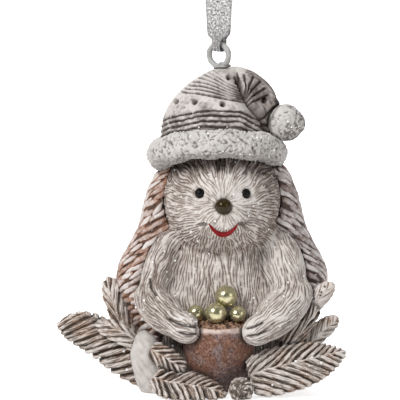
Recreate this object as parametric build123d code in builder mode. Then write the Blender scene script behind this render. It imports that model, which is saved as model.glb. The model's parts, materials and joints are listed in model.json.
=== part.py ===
"""A hanging hedgehog figurine: sitting in a knitted hat with a pot of berries, and fir sprigs round its base.

Millimetres, +Z up, the face looking along -Y. The origin is on the flat base, under the middle of the torso.
"""
import os
from math import cos, pi, radians, sin, sqrt

from build123d import *

os.makedirs("parts", exist_ok=True)

# Fit between pieces that are set into each other, and the overrun of a cut
seat_gap = 0.05
overrun = 1.0

# Torso, standing on the base plane
torso_width = 33.0
torso_depth = 24.0
torso_height = 36.0

# Head, set on the torso, with a low muzzle
head_width = 26.4
head_depth = 26.0
head_height = 27.0
head_sink = 6.5
head_forward = 4.0
muzzle_width = 14.0
muzzle_depth = 10.6
muzzle_height = 12.0
muzzle_drop = 2.5
muzzle_set_share = 0.36
face_shift = 0.25

# Beads and paint of the face
eye_diameter = 2.4
eye_spacing = 10.4
eye_rise = 2.7
eye_stand = 0.65
nose_diameter = 3.7
nose_stand = 1.5
mouth_width = 6.6
mouth_sag = 2.1
mouth_thickness = 1.1
mouth_corner = 0.24
mouth_drop = 4.4

# Quill coat round the back and sides
coat_width = 47.0
coat_depth = 37.0
coat_height = 54.0
coat_front = 6.0
coat_setback = 5.0
coat_lean = 6.0

# Arms, leg and the pot that the arms hold
arm_left_diameter = 8.4
arm_right_diameter = 9.0
leg_diameter = 8.4
pot_diameter = 16.0
pot_height = 15.2
pot_wall = 0.9
pot_shift = -0.7
pot_forward = 11.0
soil_depth = 4.0
soil_mound = 1.3

# Berries heaped on the soil
berry_front_diameter = 4.6
berry_left_diameter = 3.7
berry_right_diameter = 3.6
berry_back_diameter = 3.6
berry_top_diameter = 4.86
berry_sink = 0.3

# Hat: a rolled brim, a domed crown with a drooping tip, and a pompom
brim_diameter = 31.0
brim_thickness = 6.4
brim_tilt = 18.0
brim_roll = 1.4
brim_seat = 3.5
brim_shift = -1.1
crown_diameter = 26.2
crown_height = 19.6
crown_lean = 5.0
tail_diameter = 6.6
pompom_diameter = 8.3

# Hanging ring: a wire ring on a shank that is sunk in the crown, with a low collar
ring_diameter = 6.4
ring_wire = 1.3
ring_turn = 33.0
ring_left = 1.3
ring_forward = 0.4
ring_sink = 0.2
ring_shank = 5.0
collar_diameter = 4.4
collar_height = 1.3
collar_shift = 0.8
collar_rise = 0.3

# Ribbon through the ring, gathered where it passes, and its knot
ribbon_width = 6.1
ribbon_thickness = 0.35
gather_width = 2.4
gather_thickness = 0.5
gather_rise = 0.9
ribbon_spread = 3.6
ribbon_rise = 13.0
ribbon_clearance = 0.5
knot_width = 4.6
knot_depth = 3.6
knot_height = 2.8
ribbon_tail = 4.2
tail_spread = 24.0

# Sprigs round the base: the width across their tips, and each one's own width and thickness
sprig_spread = 64.0
left_large_width, left_large_thickness = 9.6, 4.0
left_small_width, left_small_thickness = 4.6, 3.0
left_upright_width, left_upright_thickness = 4.8, 3.2
front_bud_width, front_bud_thickness = 5.4, 3.6
front_long_width, front_long_thickness = 9.6, 3.8
front_ball_diameter = 5.8
front_ball_sink = 0.7
right_large_width, right_large_thickness = 11.8, 4.6
right_top_width, right_top_thickness = 4.4, 3.6
right_middle_width, right_middle_thickness = 4.8, 3.2
right_back_width, right_back_thickness = 4.6, 3.4

# Torso rings from the base up: height, half width, half depth and setback, as shares of its own sizes
torso_shares = [
    (0, 0.44, 0.44, 0.02),
    (0.28, 0.5, 0.5, 0.05),
    (0.56, 0.485, 0.5, 0.06),
    (0.78, 0.41, 0.467, 0.06),
    (1, 0.318, 0.396, 0),
]

# Coat profile from below the base up: radius as a share of its width, height as a share of its height
coat_shares = [
    (0.35, -0.08),
    (0.385, 0.06),
    (0.42, 0.2),
    (0.462, 0.33),
    (0.5, 0.452),
    (0.481, 0.515),
    (0.44, 0.58),
    (0.396, 0.667),
    (0.354, 0.811),
    (0.315, 0.889),
    (0.2, 1),
]

# Mouth stations from corner to corner, as shares of its half width
mouth_shares = (-1, -0.7, -0.35, 0, 0.35, 0.7, 1)

# Crown profile from the brim up: radius as a share of its diameter, height as a share of its height
crown_shares = [
    (0.496, 0),
    (0.5, 0.153),
    (0.49, 0.357),
    (0.43, 0.561),
    (0.33, 0.74),
    (0.206, 0.883),
    (0.1, 0.969),
]

# Pot profile from the foot up: radius as a share of its diameter, height as a share of its height
pot_shares = [(0.15, 0), (0.25, 0.08), (0.36, 0.23), (0.445, 0.4), (0.5, 0.645), (0.478, 0.86), (0.456, 1)]

# Hat tip, two long ovals: ends as shares of the crown's height from the brim's middle
tail_shares = [
    ((0.097, 0.255, 0.929), (0.658, -0.128, 0.6)),
    ((0.393, 0, 0.776), (0.745, -0.077, 0.247)),
]
pompom_shares = (0.776, -0.026, 0.367)

# Arms and leg as long ovals: ends as shares of the torso's height, and girth as a share of the limb's diameter
arm_left_shares = [
    ((-0.328, -0.111, 1), (-0.478, -0.264, 0.528), 0.74),
    ((-0.53, -0.236, 0.639), (-0.222, -0.444, 0.389), 1),
    ((-0.333, -0.389, 0.472), (-0.153, -0.514, 0.375), 0.76),
]
arm_right_shares = [
    ((0.347, -0.125, 1), (0.447, -0.236, 0.528), 0.98),
    ((0.54, -0.208, 0.667), (0.208, -0.472, 0.367), 1),
    ((0.333, -0.389, 0.472), (0.139, -0.514, 0.367), 0.78),
]
leg_shares = [((-0.5, -0.264, 0.378), (-0.375, -0.297, -0.1), 1)]

# Berries on the soil: place across and forward of the pot's axis, as shares of its diameter
berry_front_shares = (-0.046, -0.2)
berry_left_shares = (-0.322, -0.019)
berry_right_shares = (0.262, -0.081)
berry_back_shares = (0.1, 0.15)
berry_top_shares = (0.48, 0.52, 0.707)

# Sprigs from root to tip: places as shares of the spread, then width and thickness as shares of the sprig's own
left_large_shares = [
    (-0.25, -0.062, 0.05, 0.917, 0.9),
    (-0.33, -0.066, 0.103, 1, 1),
    (-0.387, -0.069, 0.146, 1, 1),
    (-0.429, -0.07, 0.177, 0.979, 0.95),
    (-0.481, -0.069, 0.203, 0.917, 0.85),
    (-0.541, -0.066, 0.216, 0.646, 0.6),
    (-0.58, -0.062, 0.22, 0.167, 0.2),
]
left_small_shares = [
    (-0.281, -0.102, 0.148, 0.87, 0.933),
    (-0.32, -0.109, 0.175, 0.957, 1),
    (-0.367, -0.109, 0.202, 1, 1),
    (-0.414, -0.109, 0.223, 0.87, 0.867),
    (-0.442, -0.106, 0.233, 0.304, 0.333),
]
left_upright_shares = [
    (-0.32, -0.031, 0.141, 0.833, 0.875),
    (-0.341, -0.023, 0.195, 0.917, 1),
    (-0.362, -0.016, 0.25, 0.958, 1),
    (-0.383, -0.008, 0.305, 1, 1),
    (-0.394, 0, 0.352, 0.833, 0.875),
    (-0.397, 0, 0.384, 0.292, 0.312),
]
front_bud_shares = [
    (-0.253, -0.228, 0.155, 0.593, 0.667),
    (-0.227, -0.237, 0.147, 0.963, 0.944),
    (-0.192, -0.247, 0.128, 1, 1),
    (-0.156, -0.255, 0.106, 0.852, 0.833),
    (-0.128, -0.263, 0.087, 0.296, 0.278),
]
front_long_shares = [
    (-0.233, -0.273, 0.077, 0.708, 0.842),
    (-0.166, -0.297, 0.047, 1, 1),
    (-0.095, -0.312, 0.039, 0.917, 0.947),
    (-0.031, -0.32, 0.027, 0.604, 0.737),
    (0.014, -0.325, 0.013, 0.167, 0.263),
]
front_ball_shares = (0.066, -0.333)
right_large_shares = [
    (0.097, -0.273, 0.066, 0.712, 0.783),
    (0.141, -0.266, 0.077, 0.949, 0.957),
    (0.234, -0.255, 0.098, 1, 1),
    (0.328, -0.227, 0.12, 0.847, 0.87),
    (0.395, -0.206, 0.136, 0.475, 0.609),
    (0.434, -0.197, 0.144, 0.119, 0.217),
]
right_top_shares = [
    (0.294, -0.125, 0.273, 0.864, 0.889),
    (0.322, -0.121, 0.306, 0.955, 1),
    (0.353, -0.117, 0.341, 1, 1),
    (0.378, -0.114, 0.366, 0.727, 0.778),
    (0.391, -0.113, 0.378, 0.273, 0.278),
]
right_middle_shares = [
    (0.227, -0.172, 0.164, 0.833, 0.875),
    (0.266, -0.164, 0.211, 1, 1),
    (0.3, -0.148, 0.263, 1, 1),
    (0.322, -0.138, 0.297, 0.667, 0.688),
    (0.331, -0.133, 0.312, 0.208, 0.25),
]
right_back_shares = [
    (0.273, -0.117, 0.141, 0.87, 0.882),
    (0.316, -0.109, 0.178, 0.957, 1),
    (0.359, -0.102, 0.216, 1, 1),
    (0.391, -0.097, 0.241, 0.739, 0.765),
    (0.409, -0.094, 0.253, 0.261, 0.294),
]


def egg(centre, half_sizes, room=0):
    """A closed ellipsoid about its centre, with room added all round and its seam at the back."""
    with BuildPart() as form:
        Sphere(1, rotation=(0, 0, 90))
        scale(by=tuple(half + room for half in half_sizes))
    return Location(centre) * form.part


def ball(centre, diameter, room=0):
    """A closed sphere about its centre, with room added all round and its seam at the back."""
    with BuildPart(Plane(origin=centre, x_dir=(0, 1, 0), z_dir=(0, 0, 1))) as form:
        Sphere(diameter / 2 + room)
    return form.part


def egg_front(centre, half_sizes, x, z):
    """The depth of an ellipsoid's front skin at a place across and up."""
    across = ((x - centre[0]) / half_sizes[0]) ** 2 + ((z - centre[2]) / half_sizes[2]) ** 2
    return centre[1] - half_sizes[1] * sqrt(max(0, 1 - across))


def headings(places):
    """The direction of a run of places at each of them."""
    ends = list(zip(places[:1] + places[:-1], places[1:] + places[-1:]))
    return [(Vector(*after) - Vector(*before)).normalized() for before, after in ends]


def blade(places, half_widths, half_depths, facing, room=0):
    """A leaf shape through oval sections, its flat side turned to the facing direction."""
    with BuildPart() as form:
        for place, half_width, half_depth, heading in zip(places, half_widths, half_depths, headings(places)):
            with BuildSketch(Plane(origin=place, x_dir=heading.cross(Vector(*facing)), z_dir=heading)):
                Circle(1)
                scale(by=(half_width + room, half_depth + room, 1))
        loft()
    return form.part


def limb(ovals, unit, diameter, room=0):
    """A limb of long ovals, each between two ends in shares of the unit, with its girth."""
    with BuildPart() as form:
        for start, end, girth in ovals:
            first, last = Vector(*start) * unit, Vector(*end) * unit
            along = (last - first).normalized()
            half_width = girth * diameter / 2
            lie = Plane(origin=(first + last) * 0.5, x_dir=along.cross(Vector(0, -1, 0)), z_dir=along)
            add(lie.location * egg((0, 0, 0), (half_width, half_width, (last - first).length / 2), room))
    return form.part


def stacked(rings):
    """A closed form through level oval rings, each a height, a middle and two half sizes."""
    with BuildPart() as form:
        for height, across, back, half_width, half_depth in rings:
            with BuildSketch(Plane(origin=(across, back, height))):
                Circle(1)
                scale(by=(half_width, half_depth, 1))
        loft()
    return form.part


def turned(plane, outline):
    """A closed form turned about the plane's own upright axis from radii and heights."""
    with BuildPart() as form:
        with BuildSketch(Plane.XZ):
            with BuildLine():
                Spline(*outline)
                if outline[-1][0] > 0:
                    Line(outline[-1], (0, outline[-1][1]))
                Polyline((0, outline[-1][1]), (0, outline[0][1]), outline[0])
            make_face()
        revolve(axis=Axis.Z)
    return plane.location * form.part


def torso_form(room=0):
    """The torso's full form, before anything is set into it."""
    rings = [
        (height * torso_height, 0, back * torso_depth, wide * torso_width + room, deep * torso_depth + room)
        for height, wide, deep, back in torso_shares
    ]
    return stacked(rings)


def coat_form(room=0):
    """The quill coat's full form, leaning forward over the back, before the body is cut from it."""
    outline = [(radius * coat_width + room, height * coat_height) for radius, height in coat_shares]
    flat = turned(Plane.XY, outline).scale((1, coat_depth / coat_width, 1))
    coat_axis = (0, -sin(radians(coat_lean)), cos(radians(coat_lean)))
    return Plane(origin=(0, coat_setback, 0), x_dir=(1, 0, 0), z_dir=coat_axis).location * flat


def sprig(shares, width, thickness, facing, room=0):
    """A sprig from its stations, its own width and thickness, and the way that it faces."""
    places = [tuple(share * sprig_spread for share in row[:3]) for row in shares]
    half_widths = [row[3] * width / 2 for row in shares]
    half_depths = [row[4] * thickness / 2 for row in shares]
    return blade(places, half_widths, half_depths, facing, room)


def of_spread(shares):
    """A place on the base from shares of the sprigs' spread."""
    return tuple(share * sprig_spread for share in shares)


# Places that follow from the sizes
head_middle = (0, -head_forward, torso_height - head_sink + head_height / 2)
head_half = (head_width / 2, head_depth / 2, head_height / 2)
muzzle_set = muzzle_set_share * muzzle_depth
muzzle_middle = (face_shift, head_middle[1] - head_depth / 2 + muzzle_set, head_middle[2] - muzzle_drop)
muzzle_half = (muzzle_width / 2, muzzle_depth / 2, muzzle_height / 2)
brim_middle = Vector(brim_shift, head_middle[1], head_middle[2] + head_height / 2 - brim_seat)
crown_axis = Vector(sin(radians(crown_lean)), sin(radians(brim_tilt)), cos(radians(brim_tilt))).normalized()
brim_axis = Vector(-sin(radians(brim_roll)), sin(radians(brim_tilt)), cos(radians(brim_tilt))).normalized()
crown_side = (cos(radians(crown_lean)), 0, -sin(radians(crown_lean)))
crown_plane = Plane(origin=brim_middle, x_dir=crown_side, z_dir=crown_axis)
brim_plane = Plane(origin=brim_middle, z_dir=brim_axis)
crown_top = brim_middle + crown_axis * crown_height
pompom_middle = tuple(brim_middle + Vector(*pompom_shares) * crown_height)
pot_middle = (pot_shift, -pot_forward, 0)
ring_across = Vector(cos(radians(ring_turn)), -sin(radians(ring_turn)), 0)
ring_front = Vector(-sin(radians(ring_turn)), -cos(radians(ring_turn)), 0)
ring_middle = crown_top + Vector(-ring_left, -ring_forward, ring_diameter / 2 - ring_sink)
ring_plane = Plane(origin=ring_middle, x_dir=ring_across, z_dir=ring_front)
wire_top = ring_middle + Vector(0, 0, ring_diameter / 2 - ring_wire / 2)


def face_front(x, z):
    """The depth of the face's skin at a place across and up."""
    return min(egg_front(head_middle, head_half, x, z), egg_front(muzzle_middle, muzzle_half, x, z))


def head_form(room=0):
    """The head and muzzle, before the face's pieces are set in."""
    return egg(head_middle, head_half, room) + egg(muzzle_middle, muzzle_half, room)


def crown_form(room=0):
    """The hat's dome, from the brim's middle plane up."""
    outline = [(radius * crown_diameter + room, height * crown_height) for radius, height in crown_shares]
    return turned(crown_plane, outline + [(0, crown_height + room)])


def brim_form(room=0):
    """The rolled brim as a full ring."""
    with BuildPart(brim_plane) as form:
        Torus((brim_diameter - brim_thickness) / 2, brim_thickness / 2 + room)
    return form.part


def tail_form(room=0):
    """The hat's drooping tip."""
    ovals = [(start, end, 1) for start, end in tail_shares]
    return Location(brim_middle) * limb(ovals, crown_height, tail_diameter, room)


def pompom_form(room=0):
    """The ball on the hat's tip."""
    return ball(pompom_middle, pompom_diameter, room)


def pot_form(room=0):
    """The pot's full outer form, without its hollow."""
    outline = [(radius * pot_diameter + room, height * (pot_height + room)) for radius, height in pot_shares]
    return turned(Plane(origin=pot_middle), outline)


def arm_left_form(room=0):
    """The arm on the viewer's left with its hand."""
    return limb(arm_left_shares, torso_height, arm_left_diameter, room)


def arm_right_form(room=0):
    """The arm on the viewer's right with its hand."""
    return limb(arm_right_shares, torso_height, arm_right_diameter, room)


def leg_form(room=0):
    """The drawn-up leg on the viewer's left."""
    return limb(leg_shares, torso_height, leg_diameter, room)


def eye_form(side, room=0):
    """An eye bead, set into the face's skin."""
    x = face_shift + side * eye_spacing / 2
    z = head_middle[2] + eye_rise
    y = face_front(x, z) + eye_diameter / 2 - eye_stand
    return ball((x, y, z), eye_diameter, room)


def nose_form(room=0):
    """The nose bead on the muzzle."""
    y = face_front(face_shift, head_middle[2]) + nose_diameter / 2 - nose_stand
    return ball((face_shift, y, head_middle[2]), nose_diameter, room)


def mouth_form(room=0):
    """The smiling mouth, a crescent that lies in the face's skin."""
    places = []
    for share in mouth_shares:
        x = face_shift + share * mouth_width / 2
        z = head_middle[2] - mouth_drop - mouth_sag * (1 - share**2)
        places.append((x, face_front(x, z), z))
    swell = mouth_thickness - mouth_corner
    girth = [(mouth_corner + swell * sqrt(1 - share**2)) / 2 for share in mouth_shares]
    return blade(places, girth, girth, (0, -1, 0), room)


def ring_form(room=0):
    """The wire ring with its shank."""
    with BuildPart(ring_plane) as form:
        Torus((ring_diameter - ring_wire) / 2, ring_wire / 2 + room)
    with BuildPart(Plane(origin=ring_middle - Vector(0, 0, ring_diameter / 2 - ring_wire / 2))) as shank:
        Cylinder(ring_wire / 2 + room, ring_shank + room, align=(Align.CENTER, Align.CENTER, Align.MAX))
    return form.part + shank.part


berry_floor = pot_height + soil_mound / 2 - berry_sink


def berry_on_soil(shares, diameter):
    """The middle of a berry that rests on the soil."""
    across, forward = (share * pot_diameter for share in shares)
    return (pot_shift + across, -pot_forward + forward, berry_floor + diameter / 2)


berry_front_middle = berry_on_soil(berry_front_shares, berry_front_diameter)
berry_reach = (berry_front_diameter + berry_top_diameter) / 2 + seat_gap
berries = {
    "berry_front": (berry_front_middle, berry_front_diameter),
    "berry_left": (berry_on_soil(berry_left_shares, berry_left_diameter), berry_left_diameter),
    "berry_right": (berry_on_soil(berry_right_shares, berry_right_diameter), berry_right_diameter),
    "berry_back": (berry_on_soil(berry_back_shares, berry_back_diameter), berry_back_diameter),
    "berry_top": (
        tuple(Vector(*berry_front_middle) + Vector(*berry_top_shares).normalized() * berry_reach),
        berry_top_diameter,
    ),
}


def berry_form(name, room=0):
    """One of the berries."""
    return ball(*berries[name], room)


# Sprigs: stations, width, thickness and the way that each one's flat side faces
up_shares = (0, -1, 0.2)
left_shares = (-0.2, -1, 0)
right_shares = (0.2, -1, 0)
bud_shares = (0, -1, 0.3)
slope_shares = (0, -0.8, 0.6)
flat_shares = (0, -0.55, 0.83)
sprigs = {
    "sprig_left_large": (left_large_shares, left_large_width, left_large_thickness, up_shares),
    "sprig_left_small": (left_small_shares, left_small_width, left_small_thickness, up_shares),
    "sprig_left_upright": (left_upright_shares, left_upright_width, left_upright_thickness, left_shares),
    "sprig_front_bud": (front_bud_shares, front_bud_width, front_bud_thickness, bud_shares),
    "sprig_front_long": (front_long_shares, front_long_width, front_long_thickness, flat_shares),
    "sprig_right_large": (right_large_shares, right_large_width, right_large_thickness, slope_shares),
    "sprig_right_top": (right_top_shares, right_top_width, right_top_thickness, right_shares),
    "sprig_right_middle": (right_middle_shares, right_middle_width, right_middle_thickness, right_shares),
    "sprig_right_back": (right_back_shares, right_back_width, right_back_thickness, right_shares),
}
front_ball_middle = (*of_spread(front_ball_shares), front_ball_diameter / 2 - front_ball_sink)


def front_ball_form(room=0):
    """The round sprig bud at the front."""
    return ball(front_ball_middle, front_ball_diameter, room)


# Full forms with room round them, for setting the pieces into each other
head_room = head_form(seat_gap)
torso_room = torso_form(seat_gap)
coat_room = coat_form(seat_gap)
crown_room = crown_form(seat_gap)
brim_room = brim_form(seat_gap)
tail_room = tail_form(seat_gap)
pompom_room = pompom_form(seat_gap)
pot_room = pot_form(seat_gap)
arm_left_room = arm_left_form(seat_gap)
arm_right_room = arm_right_form(seat_gap)
leg_room = leg_form(seat_gap)
ring_room = ring_form(seat_gap)

# Torso, with its seat for the head and its pocket for the pot
with BuildPart() as torso:
    add(torso_form())
    add(head_room, mode=Mode.SUBTRACT)
    add(pot_room, mode=Mode.SUBTRACT)
    for name in berries:
        add(berry_form(name, seat_gap), mode=Mode.SUBTRACT)
torso.part.label = "torso"
export_step(torso.part, "parts/torso.step")

# Head, with sockets for the eyes, nose and mouth
with BuildPart() as head:
    add(head_form())
    add(nose_form(seat_gap), mode=Mode.SUBTRACT)
    add(mouth_form(seat_gap), mode=Mode.SUBTRACT)
    for side in (-1, 1):
        add(eye_form(side, seat_gap), mode=Mode.SUBTRACT)
head.part.label = "head"
export_step(head.part, "parts/head.step")

# Eyes, nose and mouth
with BuildPart() as eye_left:
    add(eye_form(-1))
eye_left.part.label = "eye_left"
export_step(eye_left.part, "parts/eye_left.step")

with BuildPart() as eye_right:
    add(eye_form(1))
eye_right.part.label = "eye_right"
export_step(eye_right.part, "parts/eye_right.step")

with BuildPart() as nose:
    add(nose_form())
nose.part.label = "nose"
export_step(nose.part, "parts/nose.step")

with BuildPart() as mouth:
    add(mouth_form())
mouth.part.label = "mouth"
export_step(mouth.part, "parts/mouth.step")

# Pot, hollow down to its floor
with BuildPart() as pot:
    add(pot_form())
    inner = [(radius * pot_diameter - pot_wall, height * pot_height) for radius, height in pot_shares[2:-1]]
    mouth_edge = (pot_shares[-1][0] * pot_diameter - pot_wall, pot_height + overrun)
    add(turned(Plane(origin=pot_middle), inner + [mouth_edge]), mode=Mode.SUBTRACT)
pot.part.label = "pot"
export_step(pot.part, "parts/pot.step")

# Soil, filling the pot's mouth and heaped over its rim, with a dimple under each berry
with BuildPart() as pot_soil:
    soil_radius = pot_shares[-1][0] * pot_diameter - pot_wall - seat_gap
    with BuildSketch(Plane(origin=(pot_shift, -pot_forward, pot_height - soil_depth))):
        Circle(soil_radius)
    extrude(amount=soil_depth)
    add(egg((pot_shift, -pot_forward, pot_height), (soil_radius, soil_radius, soil_mound)))
    for name in berries:
        add(berry_form(name, seat_gap), mode=Mode.SUBTRACT)
    add(torso_room - pot_room, mode=Mode.SUBTRACT)
pot_soil.part.label = "pot_soil"
export_step(pot_soil.part, "parts/pot_soil.step")

# Berries, each clear of the ones before it
placed = []
for name in berries:
    with BuildPart() as berry:
        add(berry_form(name))
        for other in placed:
            add(berry_form(other, seat_gap), mode=Mode.SUBTRACT)
    placed.append(name)
    berry.part.label = name
    export_step(berry.part, f"parts/{name}.step")

# Arms, lying on the torso with the hands round the pot
berry_rooms = [berry_form(name, seat_gap) for name in berries]
with BuildPart() as arm_left:
    add(arm_left_form())
    for neighbour in (torso_room, head_room, pot_room, *berry_rooms):
        add(neighbour, mode=Mode.SUBTRACT)
arm_left.part.label = "arm_left"
export_step(arm_left.part, "parts/arm_left.step")

with BuildPart() as arm_right:
    add(arm_right_form())
    for neighbour in (torso_room, head_room, pot_room, *berry_rooms):
        add(neighbour, mode=Mode.SUBTRACT)
arm_right.part.label = "arm_right"
export_step(arm_right.part, "parts/arm_right.step")

# Leg, standing on the base plane beside the torso
with BuildPart() as leg_left:
    add(leg_form())
    for neighbour in (torso_room, arm_left_room, pot_room):
        add(neighbour, mode=Mode.SUBTRACT)
    split(bisect_by=Plane.XY)
leg_left.part.label = "leg_left"
export_step(leg_left.part, "parts/leg_left.step")

# Quill coat, round the head and torso from the face's edges back
with BuildPart() as quill_coat:
    add(coat_form())
    split(bisect_by=Plane.XZ.offset(coat_front), keep=Keep.BOTTOM)
    split(bisect_by=brim_plane, keep=Keep.BOTTOM)
    split(bisect_by=Plane.XY)
    for neighbour in (torso_room, head_room, crown_room, brim_room, arm_left_room, arm_right_room, leg_room):
        add(neighbour, mode=Mode.SUBTRACT)
quill_coat.part.label = "quill_coat"
export_step(quill_coat.part, "parts/quill_coat.step")

# Hat crown, seated on the head, with the hole for the ring's shank
with BuildPart() as hat_crown:
    add(crown_form())
    for neighbour in (head_room, pompom_room, ring_room):
        add(neighbour, mode=Mode.SUBTRACT)
hat_crown.part.label = "hat_crown"
export_step(hat_crown.part, "parts/hat_crown.step")

with BuildPart() as hat_tail:
    add(tail_form())
    for neighbour in (crown_room, pompom_room, ring_room):
        add(neighbour, mode=Mode.SUBTRACT)
hat_tail.part.label = "hat_tail"
export_step(hat_tail.part, "parts/hat_tail.step")

with BuildPart() as hat_pompom:
    add(pompom_form())
hat_pompom.part.label = "hat_pompom"
export_step(hat_pompom.part, "parts/hat_pompom.step")

# Brim, rolled round the crown's lower edge
with BuildPart() as hat_brim:
    add(brim_form())
    for neighbour in (crown_room, head_room, pompom_room, tail_room):
        add(neighbour, mode=Mode.SUBTRACT)
hat_brim.part.label = "hat_brim"
export_step(hat_brim.part, "parts/hat_brim.step")

# Hanging ring and the collar round its foot
with BuildPart() as hanging_ring:
    add(ring_form())
hanging_ring.part.label = "hanging_ring"
export_step(hanging_ring.part, "parts/hanging_ring.step")

with BuildPart() as ring_collar:
    collar_middle = ring_middle + Vector(collar_shift, 0, collar_rise - ring_diameter / 2)
    add(egg(tuple(collar_middle), (collar_diameter / 2, collar_diameter / 2, collar_height)))
    for neighbour in (crown_room, tail_room, ring_room):
        add(neighbour, mode=Mode.SUBTRACT)
ring_collar.part.label = "ring_collar"
export_step(ring_collar.part, "parts/ring_collar.step")

# Sprigs, each set against the figure and the ones before it
body_rooms = (torso_room, coat_room, arm_left_room, arm_right_room, leg_room, pot_room)
set_before = []
for name, (shares, width, thickness, facing) in sprigs.items():
    with BuildPart() as leaf:
        add(sprig(shares, width, thickness, facing))
        for neighbour in (*body_rooms, *set_before):
            add(neighbour, mode=Mode.SUBTRACT)
        split(bisect_by=Plane.XY)
    set_before.append(sprig(shares, width, thickness, facing, seat_gap))
    leaf.part.label = name
    export_step(leaf.part, f"parts/{name}.step")

with BuildPart() as sprig_front_ball:
    add(front_ball_form())
    for neighbour in (pot_room, *set_before):
        add(neighbour, mode=Mode.SUBTRACT)
    split(bisect_by=Plane.XY)
sprig_front_ball.part.label = "sprig_front_ball"
export_step(sprig_front_ball.part, "parts/sprig_front_ball.step")

# Ribbon: gathered flat under the ring's top wire, then spreading into two upright strands
bend_radius = ring_wire / 2 + ribbon_clearance + gather_thickness / 2
strand_top = wire_top.Z + ribbon_rise
with BuildPart() as ribbon:
    with BuildSketch(Plane(origin=wire_top + ring_front * bend_radius, x_dir=ring_across, z_dir=(0, 0, 1))):
        Rectangle(gather_width, gather_thickness)
    revolve(axis=Axis(tuple(wire_top), tuple(ring_across)), revolution_arc=180)
    for side in (-1, 1):
        foot = wire_top - ring_front * bend_radius * side
        spread_middle = Vector(wire_top.X, wire_top.Y + bend_radius * side, wire_top.Z + ribbon_spread)
        with BuildSketch(Plane(origin=foot, x_dir=ring_across, z_dir=(0, 0, 1))):
            Rectangle(gather_width, gather_thickness)
        extrude(amount=gather_rise)
        with BuildSketch(Plane(origin=foot + Vector(0, 0, gather_rise), x_dir=ring_across, z_dir=(0, 0, 1))):
            Rectangle(gather_width, gather_thickness)
        with BuildSketch(Plane(origin=spread_middle)):
            Rectangle(ribbon_width, ribbon_thickness)
        loft(ruled=True)
        with BuildSketch(Plane(origin=spread_middle)):
            Rectangle(ribbon_width, ribbon_thickness)
        extrude(amount=ribbon_rise - ribbon_spread)
ribbon.part.label = "ribbon"
export_step(ribbon.part, "parts/ribbon.step")

# Knot that joins the two strands, with its two short tails
with BuildPart() as ribbon_knot:
    knot_middle = Vector(wire_top.X, wire_top.Y, strand_top + knot_height / 2)
    with BuildSketch(Plane(origin=(knot_middle.X, knot_middle.Y, strand_top))):
        RectangleRounded(ribbon_width, knot_depth, knot_depth / 4)
    extrude(amount=knot_height)
    for side in (-1, 1):
        tail_root = Plane(origin=tuple(knot_middle)).rotated((tail_spread * -side, 0, 0))
        with BuildSketch(tail_root):
            Rectangle(knot_width, ribbon_thickness)
        extrude(amount=knot_height / 2 + ribbon_tail)
ribbon_knot.part.label = "ribbon_knot"
export_step(ribbon_knot.part, "parts/ribbon_knot.step")

ribbon_length = 2 * ribbon_rise + pi * bend_radius + 2 * (knot_height + ribbon_tail)
print(f"ribbon: bend radius {bend_radius:.2f} mm round the wire, length {ribbon_length:.1f} mm")
print(f"hinge through {tuple(round(v, 3) for v in wire_top)}, along {tuple(round(v, 4) for v in ring_across)}")
print(f"crown top {tuple(round(v, 3) for v in crown_top)}")
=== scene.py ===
"""Dresses the hedgehog figurine: carved fur, quills, knitted hat, fir sprigs, pot of berries and ribbon.

Every piece is shaped in millimetres on the solids of the frame and turned to metres at the end.
"""
import json
import math

import bmesh
import bpy
import numpy as np
from mathutils import Matrix, Vector
from mathutils.bvhtree import BVHTree
from mathutils.kdtree import KDTree

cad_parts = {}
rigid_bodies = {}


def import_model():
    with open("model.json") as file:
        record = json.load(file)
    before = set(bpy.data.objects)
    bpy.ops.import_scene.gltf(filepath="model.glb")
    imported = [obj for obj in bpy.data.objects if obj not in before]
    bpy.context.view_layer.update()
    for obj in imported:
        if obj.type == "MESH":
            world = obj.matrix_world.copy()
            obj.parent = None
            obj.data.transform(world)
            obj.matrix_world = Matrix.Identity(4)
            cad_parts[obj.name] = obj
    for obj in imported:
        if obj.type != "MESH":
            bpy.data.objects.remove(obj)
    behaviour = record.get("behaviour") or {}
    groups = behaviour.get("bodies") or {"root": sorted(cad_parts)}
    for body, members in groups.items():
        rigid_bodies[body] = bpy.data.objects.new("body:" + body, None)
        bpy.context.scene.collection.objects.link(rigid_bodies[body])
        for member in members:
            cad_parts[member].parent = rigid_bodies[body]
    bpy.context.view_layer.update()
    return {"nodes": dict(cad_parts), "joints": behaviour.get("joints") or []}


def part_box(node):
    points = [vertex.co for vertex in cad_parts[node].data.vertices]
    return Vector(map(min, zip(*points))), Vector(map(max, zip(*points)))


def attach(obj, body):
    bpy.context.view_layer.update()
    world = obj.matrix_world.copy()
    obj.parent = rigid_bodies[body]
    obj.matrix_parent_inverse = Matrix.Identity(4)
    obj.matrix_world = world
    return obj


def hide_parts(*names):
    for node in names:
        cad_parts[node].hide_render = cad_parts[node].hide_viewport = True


bl_info = {
    "name": "Hedgehog figurine",
    "version": (1, 0, 0),
    "blender": (4, 5, 0),
    "location": "View3D > Sidebar > Figurine",
    "description": "Dresses the figurine's solids with carved fur, quills, knit, needles and paint",
    "category": "Object",
}

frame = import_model()
MM = 0.001

# The photograph's scale and width, and the places of the origin and of the middle in it, in its pixels
PIXEL = 0.225
PHOTO_WIDTH = 400
PIXEL_ACROSS = 222.0
PIXEL_DOWN = 384.5
PIXEL_MIDDLE = 200.0
CAMERA_RISE = math.radians(8)

# How the hat's brim and the hanging ring are turned
BRIM_TILT = math.radians(18)
BRIM_ROLL = math.radians(1.4)
RING_TURN = math.radians(33)

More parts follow.
